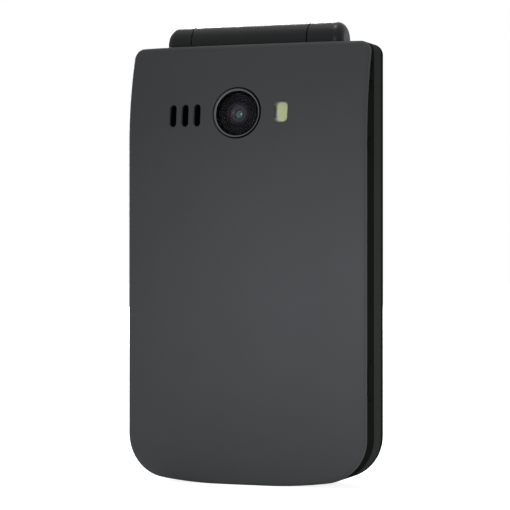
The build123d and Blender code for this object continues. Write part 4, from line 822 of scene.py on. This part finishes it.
# ------------------------------------------------------------------------------ mesh helpers
def mesh_object(name: str, build: Callable[[bmesh.types.BMesh], None]) -> bpy.types.Object:
    """Makes a mesh object from a function that fills a bmesh.

    Args:
        name: the piece's name.
        build: fills the bmesh, in metres.

    Returns:
        The new object, linked to the scene.
    """
    work = bmesh.new()
    build(work)
    bmesh.ops.remove_doubles(work, verts=work.verts, dist=WELD_DISTANCE)
    bmesh.ops.recalc_face_normals(work, faces=work.faces)
    mesh = bpy.data.meshes.new(name)
    work.to_mesh(mesh)
    work.free()
    piece = bpy.data.objects.new(name, mesh)
    bpy.context.scene.collection.objects.link(piece)
    return piece


def smooth(piece: bpy.types.Object) -> None:
    """Shades a piece smooth except at its sharp edges.

    Args:
        piece: the mesh object.
    """
    for face in piece.data.polygons:
        face.use_smooth = True
    chosen = {"object": piece, "active_object": piece, "selected_editable_objects": [piece]}
    with bpy.context.temp_override(**chosen):
        bpy.ops.object.shade_smooth_by_angle(angle=math.radians(SMOOTH_ANGLE))


def lathe(
    work: bmesh.types.BMesh, profile: Sequence[tuple[float, float]], steps: int = 64
) -> None:
    """Turns a closed profile about the local Z axis.

    Args:
        work: takes the faces.
        profile: points as radius and height, in order round the section.
        steps: how many stretches the circle has.
    """
    rings = []
    for step in range(steps):
        turn = 2 * math.pi * step / steps
        across, deep = math.cos(turn), math.sin(turn)
        rings.append([work.verts.new((r * across, r * deep, z)) for r, z in profile])
    count = len(profile)
    for step, ring in enumerate(rings):
        following = rings[(step + 1) % steps]
        for index in range(count):
            other = (index + 1) % count
            if profile[index][0] or profile[other][0]:
                work.faces.new([ring[index], following[index], following[other], ring[other]])


def prism(
    work: bmesh.types.BMesh, outline: Sequence[tuple[float, float]], low: float, high: float
) -> None:
    """Raises an outline drawn in the local XY plane into a closed solid.

    Args:
        work: takes the faces.
        outline: its corner points in order.
        low: height of the bottom.
        high: height of the top.
    """
    bottom = [work.verts.new((x, y, low)) for x, y in outline]
    top = [work.verts.new((x, y, high)) for x, y in outline]
    work.faces.new(list(reversed(bottom)))
    work.faces.new(top)
    for index, corner in enumerate(bottom):
        other = (index + 1) % len(bottom)
        work.faces.new([corner, bottom[other], top[other], top[index]])


def rounded_outline(
    width: float, height: float, corner: float, steps: int = 6
) -> list[tuple[float, float]]:
    """Gives the outline of a rounded rectangle about the origin.

    Args:
        width: along X.
        height: along Y.
        corner: radius of its corners.
        steps: stretches in each corner.

    Returns:
        The points, counter-clockwise.
    """
    points = []
    centres = ((1, 1), (-1, 1), (-1, -1), (1, -1))
    for quarter, (side_x, side_y) in enumerate(centres):
        middle_x, middle_y = side_x * (width / 2 - corner), side_y * (height / 2 - corner)
        for step in range(steps + 1):
            turn = math.pi / 2 * (quarter + step / steps)
            points.append(
                (middle_x + corner * math.cos(turn), middle_y + corner * math.sin(turn))
            )
    return points


def settle(piece: bpy.types.Object, place: Matrix) -> None:
    """Moves a piece's mesh to its place, so that its object stays at the origin.

    Args:
        piece: the mesh object.
        place: from the piece's own axes to the frame's.
    """
    piece.data.transform(place)
    piece.data.update()


def face_place(node: str, outward: Vector) -> Matrix:
    """Finds the middle of the face of a frame part that looks one way.

    Args:
        node: the part.
        outward: the direction, near to the face's normal.

    Returns:
        A place at the middle of the face; its local Z is the normal and its local Y is up.
    """
    polygons = bpy.data.objects[node].data.polygons
    faces = [f for f in polygons if f.normal.dot(outward) > FACING_SHARE]
    area = sum(f.area for f in faces)
    middle = sum((f.center * f.area for f in faces), Vector()) / area
    normal = sum((f.normal * f.area for f in faces), Vector()).normalized()
    across = Vector((0, 0, 1)).cross(normal).normalized()
    axes = Matrix((across, normal.cross(across), normal)).transposed()
    return Matrix.Translation(middle) @ axes.to_4x4()


# ------------------------------------------------------------------------------ sub-assemblies
@dataclass
class SubAssembly:
    """A group of pieces that ride on one body of the frame."""

    finishes: Finishes
    shared: SharedEffects

    def dress(self, finish: Finish, *nodes: str) -> None:
        """Gives frame parts their finish.

        Args:
            finish: what they are made of.
            *nodes: the parts' names.
        """
        for node in nodes:
            part = bpy.data.objects[node]
            part.data.materials.clear()
            part.data.materials.append(finish.material(self.shared))
            LOG.info("dressed %s in %s", node, finish.name)

    def dress_zone(self, finish: Finish, node: str, inside: Callable[[Vector], bool]) -> None:
        """Gives a second finish to the faces of a frame part that lie in one zone.

        Args:
            finish: what those faces are finished in.
            node: the part's name.
            inside: tells whether a face's centre lies in the zone.
        """
        part = bpy.data.objects[node]
        part.data.materials.append(finish.material(self.shared))
        for face in part.data.polygons:
            if inside(face.center):
                face.material_index = len(part.data.materials) - 1
        LOG.info("dressed a zone of %s in %s", node, finish.name)

    def add(
        self, piece: bpy.types.Object, finish: Finish, body: str, slot: str,
        place: Matrix | None = None,
    ) -> None:
        """Finishes a new piece and lets it ride on a body.

        Args:
            piece: the mesh object.
            finish: what it is made of.
            body: the body it moves with.
            slot: the record's material slot; not used.
            place: from its own axes to the frame's, where it isn't there yet.
        """
        if place is not None:
            settle(piece, place)
        smooth(piece)
        piece.data.materials.append(finish.material(self.shared))
        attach(piece, body)
        LOG.info("added %s on %s", piece.name, body)


@dataclass
class CameraEye(SubAssembly):
    """The camera's window, its black print, the stepped barrel and the lens elements."""

    print_radius: float = 4.5 * MM
    mouth_radius: float = 2.6 * MM
    bowl_radius: float = 1.9 * MM
    pupil_radius: float = 0.95 * MM
    print_thickness: float = 0.05 * MM
    step_depth: float = 0.18 * MM
    bowl_depth: float = 0.35 * MM
    dome_rise: float = 0.3 * MM
    window_thickness: float = 0.7 * MM
    glue_gap: float = 0.02 * MM
    barrel_margin: float = 0.3 * MM
    lens_foot: float = 0.1 * MM
    bowl_steps: int = 10
    dome_steps: int = 12
    outward: tuple[float, float, float] = (0.0, -1.0, 0.1)

    def build(self) -> None:
        """Builds and dresses the camera."""
        self.dress(self.finishes.clear, "camera_window")
        self.dress(self.finishes.ring, "camera_ring")
        self.dress(self.finishes.inner, "camera_module")
        place = face_place("camera_window", Vector(self.outward))
        under = -self.window_thickness - self.glue_gap
        top = under - self.print_thickness
        rim = top - self.step_depth
        for piece, finish, slot in (
            (self._print(under), self.finishes.print_black, "black_glass"),
            (self._barrel(top), self.finishes.barrel, "inner_plastic"),
            (self._bowl(rim), self.finishes.bowl, "black_glass"),
            (self._dome(rim), self.finishes.lens, "black_glass"),
        ):
            self.add(piece, finish, "keypad_half", slot, place)

    def _print(self, under: float) -> bpy.types.Object:
        """Makes the black ring printed on the inside of the window.

        Args:
            under: height of the window's inner face.

        Returns:
            The piece.
        """
        low = under - self.print_thickness
        section = [
            (self.mouth_radius, low), (self.print_radius, low),
            (self.print_radius, under), (self.mouth_radius, under),
        ]
        return mesh_object("camera_print", lambda work: lathe(work, section))

    def _barrel(self, top: float) -> bpy.types.Object:
        """Makes the front ring of the barrel, with one step down to the bowl.

        Args:
            top: height of its upper face.

        Returns:
            The piece.
        """
        outer = self.mouth_radius + self.barrel_margin
        step = (self.mouth_radius + self.bowl_radius) / 2
        floor = top - 2 * self.step_depth
        section = [
            (self.bowl_radius, floor), (outer, floor), (outer, top), (step, top),
            (step, top - self.step_depth / 2), (self.bowl_radius, top - self.step_depth),
        ]
        return mesh_object("camera_barrel", lambda work: lathe(work, section))

    def _bowl(self, rim: float) -> bpy.types.Object:
        """Makes the hollow glossy ring round the front element.

        Args:
            rim: height of its edge.

        Returns:
            The piece.
        """
        reach = self.bowl_radius - self.pupil_radius
        hollow = []
        for step in range(self.bowl_steps + 1):
            turn = math.pi / 2 * step / self.bowl_steps
            radius = self.bowl_radius - reach * math.sin(turn)
            hollow.append((radius, rim - self.bowl_depth * (1 - math.cos(turn))))
        floor = rim - self.bowl_depth - self.lens_foot
        section = [(self.pupil_radius, floor), (self.bowl_radius, floor), *hollow]
        return mesh_object("camera_bowl", lambda work: lathe(work, section))

    def _dome(self, rim: float) -> bpy.types.Object:
        """Makes the domed front element.

        Args:
            rim: height of the bowl's edge.

        Returns:
            The piece.
        """
        base = rim - self.bowl_depth
        sphere = (self.pupil_radius**2 + self.dome_rise**2) / (2 * self.dome_rise)
        span = math.asin(self.pupil_radius / sphere)
        arc = []
        for step in range(self.dome_steps + 1):
            turn = span * (1 - step / self.dome_steps)
            fall = sphere * (1 - math.cos(turn))
            arc.append((sphere * math.sin(turn), base + self.dome_rise - fall))
        floor = base - self.lens_foot
        section = [(0.0, floor), (self.pupil_radius, floor), *arc]
        return mesh_object("camera_dome", lambda work: lathe(work, section))


@dataclass
class FlashLamp(SubAssembly):
    """The flash window with the yellow chips behind it."""

    chip_width: float = 2.4 * MM
    chip_height: float = 4.2 * MM
    chip_corner: float = 0.9 * MM
    chip_shift: float = 0.15 * MM
    chip_thickness: float = 0.1 * MM
    guide_thickness: float = 0.9 * MM
    tray_margin: float = 0.05 * MM
    outward: tuple[float, float, float] = (0.0, -1.0, 0.0)

    def build(self) -> None:
        """Builds and dresses the flash."""
        self.dress(self.finishes.guide, "flash_window")
        self.dress(self.finishes.phosphor, "flash_led")
        low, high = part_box("flash_window")
        place = face_place("flash_window", Vector(self.outward))
        chip = [
            (x + self.chip_shift, y)
            for x, y in rounded_outline(self.chip_width, self.chip_height, self.chip_corner)
        ]
        width = high.x - low.x - 2 * self.tray_margin
        height = high.z - low.z - 2 * self.tray_margin
        tray = rounded_outline(width, height, self.chip_corner)
        top = -self.guide_thickness - self.tray_margin
        middle = top - self.chip_thickness
        floor = middle - self.chip_thickness
        chips = mesh_object("flash_chips", lambda work: prism(work, chip, middle, top))
        shade = mesh_object("flash_tray", lambda work: prism(work, tray, floor, middle))
        body = "battery_cover_body"
        self.add(chips, self.finishes.phosphor, body, "lens_plastic", place)
        self.add(shade, self.finishes.tray, body, "lens_plastic", place)


@dataclass
class KeypadHalf(SubAssembly):
    """The casing of the keypad half with its sockets, tray and battery."""

    label_inset: float = 4.0 * MM
    label_thickness: float = 0.03 * MM
    label_corner: float = 1.0 * MM

    def build(self) -> None:
        """Dresses the casing and adds the battery's blank label."""
        finishes = self.finishes
        self.dress(finishes.band, "base_frame")
        self.dress(finishes.cover, "battery_cover")
        self.dress(finishes.bezel, "keypad_bezel")
        self.dress(finishes.inner, "rear_housing", "loudspeaker")
        self.dress(finishes.recess, "headphone_socket")
        self.dress(finishes.mesh, "speaker_mesh")
        self.dress(finishes.cell, "battery")
        self.dress(finishes.gold, "battery_contacts")
        self.dress(finishes.laminate, "main_board")
        self.dress(finishes.film, "keypad_dome_sheet")
        self.dress(finishes.tin, "shield_can", "microphone")
        self.dress(finishes.tin, "sim_card_socket", "memory_card_socket")
        self.dress(finishes.steel, "vibration_motor")
        self.dress(finishes.socket, "usb_c_socket")
        self.dress(finishes.hinge, "volume_rocker")
        low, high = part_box("battery")
        size = high - low
        label = rounded_outline(
            size.x - 2 * self.label_inset, size.z - 2 * self.label_inset, self.label_corner
        )
        piece = mesh_object(
            "battery_label", lambda work: prism(work, label, 0, self.label_thickness)
        )
        middle = (low + high) / 2
        turn = Matrix.Rotation(math.radians(90), 4, "X")
        place = Matrix.Translation((middle.x, low.y, middle.z)) @ turn
        self.add(piece, finishes.label, "keypad_half", "film", place)


@dataclass
class HingeBarrel(SubAssembly):
    """The hinge's barrel, caps, shaft, sleeve, spring and cable."""

    margin: float = 0.1 * MM

    def build(self) -> None:
        """Dresses the hinge and the parts of both frames that form its barrel."""
        self.dress(self.finishes.hinge, "hinge_end_caps")
        low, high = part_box("hinge_end_caps")
        middle = (low + high) / 2
        reach = (high.z - low.z) / 2 + self.margin

        def on_barrel(point: Vector) -> bool:
            """Tells whether a point lies on the barrel."""
            away = math.hypot(point.y - middle.y, point.z - middle.z)
            return away < reach and low.x < point.x < high.x

        for node in ("base_frame", "lid_frame"):
            self.dress_zone(self.finishes.hinge, node, on_barrel)
        self.dress(
            self.finishes.steel, "hinge_shaft", "hinge_stub", "hinge_cartridge",
            "hinge_cam_follower", "hinge_spring",
        )
        self.dress(self.finishes.flex, "display_cable")


@dataclass
class Lid(SubAssembly):
    """The lid's shells, windows and displays, and the soft lip that closes the gap at its rim."""

    lip_inset: float = 0.8 * MM
    lip_width: float = 0.7 * MM
    lip_depth: float = 0.34 * MM
    lip_top: float = 93.5 * MM

    def build(self) -> None:
        """Dresses the lid and adds the lip."""
        finishes = self.finishes
        self.dress(finishes.lid, "lid_frame")
        self.dress(finishes.lid_back, "lid_outer_shell")
        self.dress(finishes.main_window, "main_display_window")
        self.dress(finishes.outer_window, "outer_display_window")
        self.dress(finishes.screen, "main_display", "outer_display")
        self.dress(finishes.tin, "display_chassis")
        self.dress(finishes.inner, "earpiece")
        self.dress(finishes.rubber, "lid_bumpers")
        self.dress(finishes.steel, "lid_screws")
        self.add(mesh_object("lid_lip", self._lip), finishes.rubber, "lid", "soft_rubber")

    def _lip(self, work: bmesh.types.BMesh) -> None:
        """Makes the lip, which follows the sides and the lower edge of the lid's inner face.

        Args:
            work: takes the faces.
        """
        spots = [vertex.co for vertex in bpy.data.objects["lid_frame"].data.vertices]
        face = min(at.y for at in spots if at.z < self.lip_top)
        points = [(at.x, at.z) for at in spots]
        hull = [Vector(points[index]) for index in geometry.convex_hull_2d(points)]
        side = max(at.x for at in hull)
        lower = sorted((at for at in hull if at.y < self.lip_top), key=lambda at: -at.x)
        rim = [Vector((side, self.lip_top)), *lower, Vector((-side, self.lip_top))]
        middle = Vector((0, self.lip_top / 2))
        near, far, crest = self.lip_inset, self.lip_inset + self.lip_width, face - self.lip_depth
        rings = []
        for n, point in enumerate(rim):
            before, after = rim[max(n - 1, 0)], rim[min(n + 1, len(rim) - 1)]
            inward = (after - before).orthogonal().normalized()
            if inward.dot(middle - point) < 0:
                inward = -inward
            ring = []
            for inset, y in ((near, face), (near, crest), (far, crest), (far, face)):
                at = point + inward * inset
                ring.append(work.verts.new((at.x, y, at.y)))
            rings.append(ring)
        work.faces.new(rings[0])
        work.faces.new(list(reversed(rings[-1])))
        for ring, following in zip(rings, rings[1:]):
            for n in range(4):
                other = (n + 1) % 4
                work.faces.new([ring[n], following[n], following[other], ring[other]])


class Glyph(Enum):
    """Signs on the keys that aren't letters."""

    HANDSET = "handset"
    BAR = "bar"
    ARROWS = "arrows"


@dataclass(frozen=True)
class Legend:
    """What one key shows: a main sign and small letters below it."""

    main: str | Glyph
    letters: str = ""


@dataclass
class Keypad(SubAssembly):
    """The keys with their legends."""

    text_size: float = 4.4 * MM
    letter_size: float = 2.1 * MM
    ink: float = 0.02 * MM
    word_share: float = 0.72
    main_lift: float = 0.9 * MM
    letter_lift: float = -2.4 * MM
    bar_width: float = 4.2 * MM
    bar_height: float = 0.7 * MM
    bar_corner: float = 0.3 * MM
    arrow_reach: float = 8.3 * MM
    arrow_half: float = 0.8 * MM
    grip_radius: float = 2.4 * MM
    grip_half: float = 0.42 * MM
    grip_lift: float = 0.8 * MM
    grip_span: float = 50.0
    grip_steps: int = 10
    end_width: float = 1.25 * MM
    end_height: float = 1.2 * MM
    end_corner: float = 0.3 * MM
    end_corner_steps: int = 3
    end_drop: float = 0.45 * MM
    picked_up_tilt: float = 45.0
    legends: dict[str, Legend] = field(
        default_factory=lambda: {
            "key_1": Legend("1"), "key_2": Legend("2", "abc"), "key_3": Legend("3", "def"),
            "key_4": Legend("4", "ghi"), "key_5": Legend("5", "jkl"), "key_6": Legend("6", "mno"),
            "key_7": Legend("7", "pqrs"), "key_8": Legend("8", "tuv"),
            "key_9": Legend("9", "wxyz"), "key_star": Legend("*"),
            "key_0": Legend("0", "+"), "key_hash": Legend("#"),
            "key_clear": Legend("C"), "key_ok": Legend("OK"),
            "key_soft_left": Legend(Glyph.BAR), "key_soft_right": Legend(Glyph.BAR),
            "key_call": Legend(Glyph.HANDSET), "key_end": Legend(Glyph.HANDSET),
            "nav_ring": Legend(Glyph.ARROWS),
        }
    )

    def build(self) -> None:
        """Dresses every key and adds its legend."""
        inks = {"key_call": self.finishes.legend_call, "key_end": self.finishes.legend_end}
        for node, legend in self.legends.items():
            self.dress(self.finishes.keys, node)
            low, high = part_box(node)
            middle = (low + high) / 2
            place = Matrix.Translation((middle.x, high.y, middle.z)) @ self._facing()
            finish = inks.get(node, self.finishes.legend)
            piece = self._sign(f"legend_{node}", legend, node == "key_end")
            self.add(piece, finish, f"{node}_body", "key_plastic", place)

    @staticmethod
    def _facing() -> Matrix:
        """Gives the turn that makes a legend read from the front of the keypad."""
        return Matrix(((-1, 0, 0), (0, 0, 1), (0, 1, 0))).to_4x4()

    def _sign(self, name: str, legend: Legend, hung_up: bool) -> bpy.types.Object:
        """Makes the raised ink of one key.

        Args:
            name: the piece's name.
            legend: what it shows.
            hung_up: whether a handset lies flat.

        Returns:
            The piece.
        """
        if legend.main is Glyph.BAR:
            bar = rounded_outline(self.bar_width, self.bar_height, self.bar_corner)
            return mesh_object(name, lambda work: prism(work, bar, 0, self.ink))
        if legend.main is Glyph.ARROWS:
            return mesh_object(name, self._arrows)
        if legend.main is Glyph.HANDSET:
            tilt = 0.0 if hung_up else self.picked_up_tilt
            return mesh_object(name, lambda work: self._handset(work, tilt))
        size = self.text_size * (self.word_share if len(legend.main) > 1 else 1.0)
        lift = self.main_lift if legend.letters else 0.0
        signs = [self._text(legend.main, size, lift)]
        if legend.letters:
            signs.append(self._text(legend.letters, self.letter_size, self.letter_lift))
        return join(name, signs)

    def _text(self, words: str, size: float, lift: float) -> bpy.types.Mesh:
        """Makes raised text.

        Args:
            words: what it says.
            size: height of the type.
            lift: how far above the middle it stands.

        Returns:
            The mesh.
        """
        curve = bpy.data.curves.new("legend_text", "FONT")
        curve.body = words
        curve.size = size
        curve.extrude = self.ink / 2
        curve.align_x = "CENTER"
        curve.align_y = "CENTER"
        holder = bpy.data.objects.new("legend_text", curve)
        mesh = bpy.data.meshes.new_from_object(holder)
        mesh.transform(Matrix.Translation((0, lift, self.ink / 2)))
        bpy.data.objects.remove(holder)
        return mesh

    def _arrows(self, work: bmesh.types.BMesh) -> None:
        """Makes four small arrow heads round the ring.

        Args:
            work: takes the faces.
        """
        reach, half = self.arrow_reach, self.arrow_half
        for quarter in range(4):
            turn = Matrix.Rotation(quarter * math.pi / 2, 2)
            tip = [(0, reach + half), (-half, reach - half / 2), (half, reach - half / 2)]
            prism(work, [tuple(turn @ Vector(corner)) for corner in tip], 0, self.ink)

    def _handset(self, work: bmesh.types.BMesh, tilt: float) -> None:
        """Makes a handset sign: an arched grip between two square ends.

        Args:
            work: takes the faces.
            tilt: in degrees.
        """
        radius, steps = self.grip_radius, self.grip_steps
        span = math.radians(self.grip_span)
        turn = Matrix.Rotation(math.radians(tilt), 2)
        angles = [math.pi / 2 - span + 2 * span * n / steps for n in range(steps + 1)]
        grip = []
        for reach, order in ((radius + self.grip_half, 1), (radius - self.grip_half, -1)):
            grip += [(math.cos(a) * reach, math.sin(a) * reach) for a in angles[::order]]
        drop = Vector((0, self.grip_lift - radius))
        prism(work, [tuple(turn @ (Vector(p) + drop)) for p in grip], 0, self.ink)
        block = rounded_outline(
            self.end_width, self.end_height, self.end_corner, self.end_corner_steps
        )
        height = radius * math.cos(span) - radius + self.grip_lift - self.end_drop
        for side in (1, -1):
            end = Vector((side * radius * math.sin(span), height))
            prism(work, [tuple(turn @ (Vector(p) + end)) for p in block], 0, self.ink)


def join(name: str, meshes: Iterable[bpy.types.Mesh]) -> bpy.types.Object:
    """Joins meshes into one piece.

    Args:
        name: the piece's name.
        meshes: what it is joined from.

    Returns:
        The piece.
    """

    def build(work: bmesh.types.BMesh) -> None:
        """Fills the piece with every mesh."""
        for mesh in meshes:
            work.from_mesh(mesh)

    return mesh_object(name, build)


@dataclass
class HousingScrews(SubAssembly):
    """The screws of the rear housing, with a flat dark cross of painted shade on each head where
    its cross recess lies.
    """

    arm_length: float = 0.75 * MM
    arm_half_width: float = 0.16 * MM
    cross_thickness: float = 0.01 * MM
    turn_step: float = 0.5

    def build(self) -> None:
        """Dresses the screws and lays a cross of painted shade on each head."""
        self.dress(self.finishes.steel, "base_screws")
        screws = bpy.data.objects["base_screws"]
        for number, (x, y, z) in enumerate(self._heads(screws)):
            upright = Matrix.Rotation(math.radians(90), 4, "X")
            turn = Matrix.Rotation(number * self.turn_step, 4, "Z")
            place = Matrix.Translation((x, y, z)) @ upright @ turn
            # A thin dark cross stands for the shade in the head's cross recess: painted shade.
            piece = mesh_object(f"screw_recess_{number + 1}", self._cross_shade)
            self.add(piece, self.finishes.recess, "keypad_half", "steel", place)

    def _heads(self, screws: bpy.types.Object) -> list[tuple[float, float, float]]:
        """Finds the middle of each screw's head.

        Args:
            screws: the frame's screws.

        Returns:
            Where the middle of each head's face lies.
        """
        tops: dict[tuple[bool, bool], list[Vector]] = {}
        spots = [vertex.co for vertex in screws.data.vertices]
        middle_z = sum(at.z for at in spots) / len(spots)
        for at in spots:
            tops.setdefault((at.x > 0, at.z > middle_z), []).append(at)
        heads = []
        for points in tops.values():
            x = (min(p.x for p in points) + max(p.x for p in points)) / 2
            z = (min(p.z for p in points) + max(p.z for p in points)) / 2
            heads.append((x, min(p.y for p in points), z))
        return heads

    def _cross_shade(self, work: bmesh.types.BMesh) -> None:
        """Makes the flat dark cross that paints the shade of a screw head's cross recess.

        Args:
            work: takes the faces.
        """
        arm, half = self.arm_length, self.arm_half_width
        points = []
        for quarter in range(4):
            turn = Matrix.Rotation(quarter * math.pi / 2, 2)
            for corner in ((arm, -half), (arm, half), (half, half)):
                points.append(tuple(turn @ Vector(corner)))
        prism(work, points, 0, self.cross_thickness)


# ------------------------------------------------------------------------------ studio
@dataclass(frozen=True)
class SoftLamp:
    """A soft square lamp: its place, the side of its panel and its power in watts."""

    name: str
    place: tuple[float, float, float]
    side: float
    power: float


@dataclass
class Studio:
    """A pale floor and backdrop, soft lamps and the camera."""

    azimuth: float = 20.6
    distance: float = 467.0 * MM
    camera_height: float = 52.0 * MM
    lens: float = 143.5
    floor_size: float = 6.0
    floor_tone: float = 0.8
    floor_glow: float = 0.87
    ambient: float = 0.19
    key_place: tuple[float, float, float] = (0.45, -1.25, 0.22)
    key_aim: tuple[float, float, float] = (0.016, 0.0, 0.040)
    key_power: float = 57.0
    key_radius: float = 0.05
    key_beam: float = 5.9
    lamp_aim: tuple[float, float, float] = (0.0, 0.0, 0.05)
    floor_thickness: float = 10 * MM
    floor_roughness: float = 0.9
    near_clip: float = 0.02
    lamps: tuple[SoftLamp, ...] = (
        SoftLamp("rear", (-0.8, 1.2, 0.5), 0.8, 34.0),
        SoftLamp("top", (0.0, 0.02, 1.1), 0.3, 5.0),
    )

    def build(self) -> None:
        """Builds the studio."""
        self._world()
        self._floor()
        self._key()
        for lamp in self.lamps:
            self._lamp(lamp)
        self._camera()
        bpy.context.scene.view_settings.view_transform = "Standard"

    def _world(self) -> None:
        """Sets a world that looks white and lights the object softly."""
        world = bpy.data.worlds.new("Studio")
        bpy.context.scene.world = world
        world.use_nodes = True
        graph = Graph(world.node_tree)
        background = world.node_tree.nodes["Background"]
        strength = background.inputs["Strength"]
        graph.vary(graph.seen_directly(), 1 - self.ambient, self.ambient, strength)
        background.inputs["Color"].default_value = (1, 1, 1, 1)

    def _floor(self) -> None:
        """Lays the floor, which keeps a soft shadow on white."""
        half = self.floor_size / 2
        outline = [(-half, -half), (half, -half), (half, half), (-half, half)]
        floor = mesh_object(
            "studio_floor", lambda work: prism(work, outline, -self.floor_thickness, 0)
        )
        material = bpy.data.materials.new("Pale floor")
        material.use_nodes = True
        graph = Graph(material.node_tree)
        shader = material.node_tree.nodes["Principled BSDF"]
        shader.inputs["Base Color"].default_value = (*(self.floor_tone,) * 3, 1)
        shader.inputs["Roughness"].default_value = self.floor_roughness
        shader.inputs["Specular IOR Level"].default_value = 0.0
        shader.inputs["Emission Color"].default_value = (1, 1, 1, 1)
        glow = graph.maths("MULTIPLY", graph.seen_directly(), self.floor_glow)
        graph.feed(glow, shader.inputs["Emission Strength"])
        floor.data.materials.append(material)

    def _key(self) -> None:
        """Hangs the soft key lamp, whose beam fades towards the top of the object."""
        light = bpy.data.lights.new("key", "SPOT")
        light.energy = self.key_power
        light.shadow_soft_size = self.key_radius
        light.spot_size = math.radians(self.key_beam)
        light.spot_blend = 1.0
        self._hang(light, self.key_place, self.key_aim)

    def _lamp(self, lamp: SoftLamp) -> None:
        """Hangs a soft square lamp that points at the object.

        Args:
            lamp: its place, size and power.
        """
        light = bpy.data.lights.new(lamp.name, "AREA")
        light.size = lamp.side
        light.energy = lamp.power
        self._hang(light, lamp.place, self.lamp_aim)

    @staticmethod
    def _hang(light: bpy.types.Light, place: Sequence[float], aim: Sequence[float]) -> None:
        """Places a lamp.

        Args:
            light: its data.
            place: where it hangs.
            aim: where it points.
        """
        lamp = bpy.data.objects.new(light.name, light)
        lamp.location = place
        lamp.rotation_mode = "QUATERNION"
        lamp.rotation_quaternion = (Vector(aim) - Vector(place)).to_track_quat("-Z", "Y")
        bpy.context.scene.collection.objects.link(lamp)

    def _camera(self) -> None:
        """Sets the camera level with the middle of the object, to its right."""
        data = bpy.data.cameras.new("camera")
        data.lens = self.lens
        data.clip_start = self.near_clip
        camera = bpy.data.objects.new("camera", data)
        turn = math.radians(self.azimuth)
        away = self.distance
        camera.location = (away * math.sin(turn), -away * math.cos(turn), self.camera_height)
        camera.rotation_euler = (math.radians(90), 0, turn)
        bpy.context.scene.collection.objects.link(camera)
        bpy.context.scene.camera = camera


def main() -> None:
    """Builds the whole scene."""
    logging.basicConfig(level=logging.INFO)
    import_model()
    shared = SharedEffects()
    finishes = Finishes()
    for kind in (KeypadHalf, Lid, HingeBarrel, CameraEye, FlashLamp, Keypad, HousingScrews):
        kind(finishes, shared).build()
    Studio().build()
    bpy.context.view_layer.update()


if __name__ == "__main__":
    main()
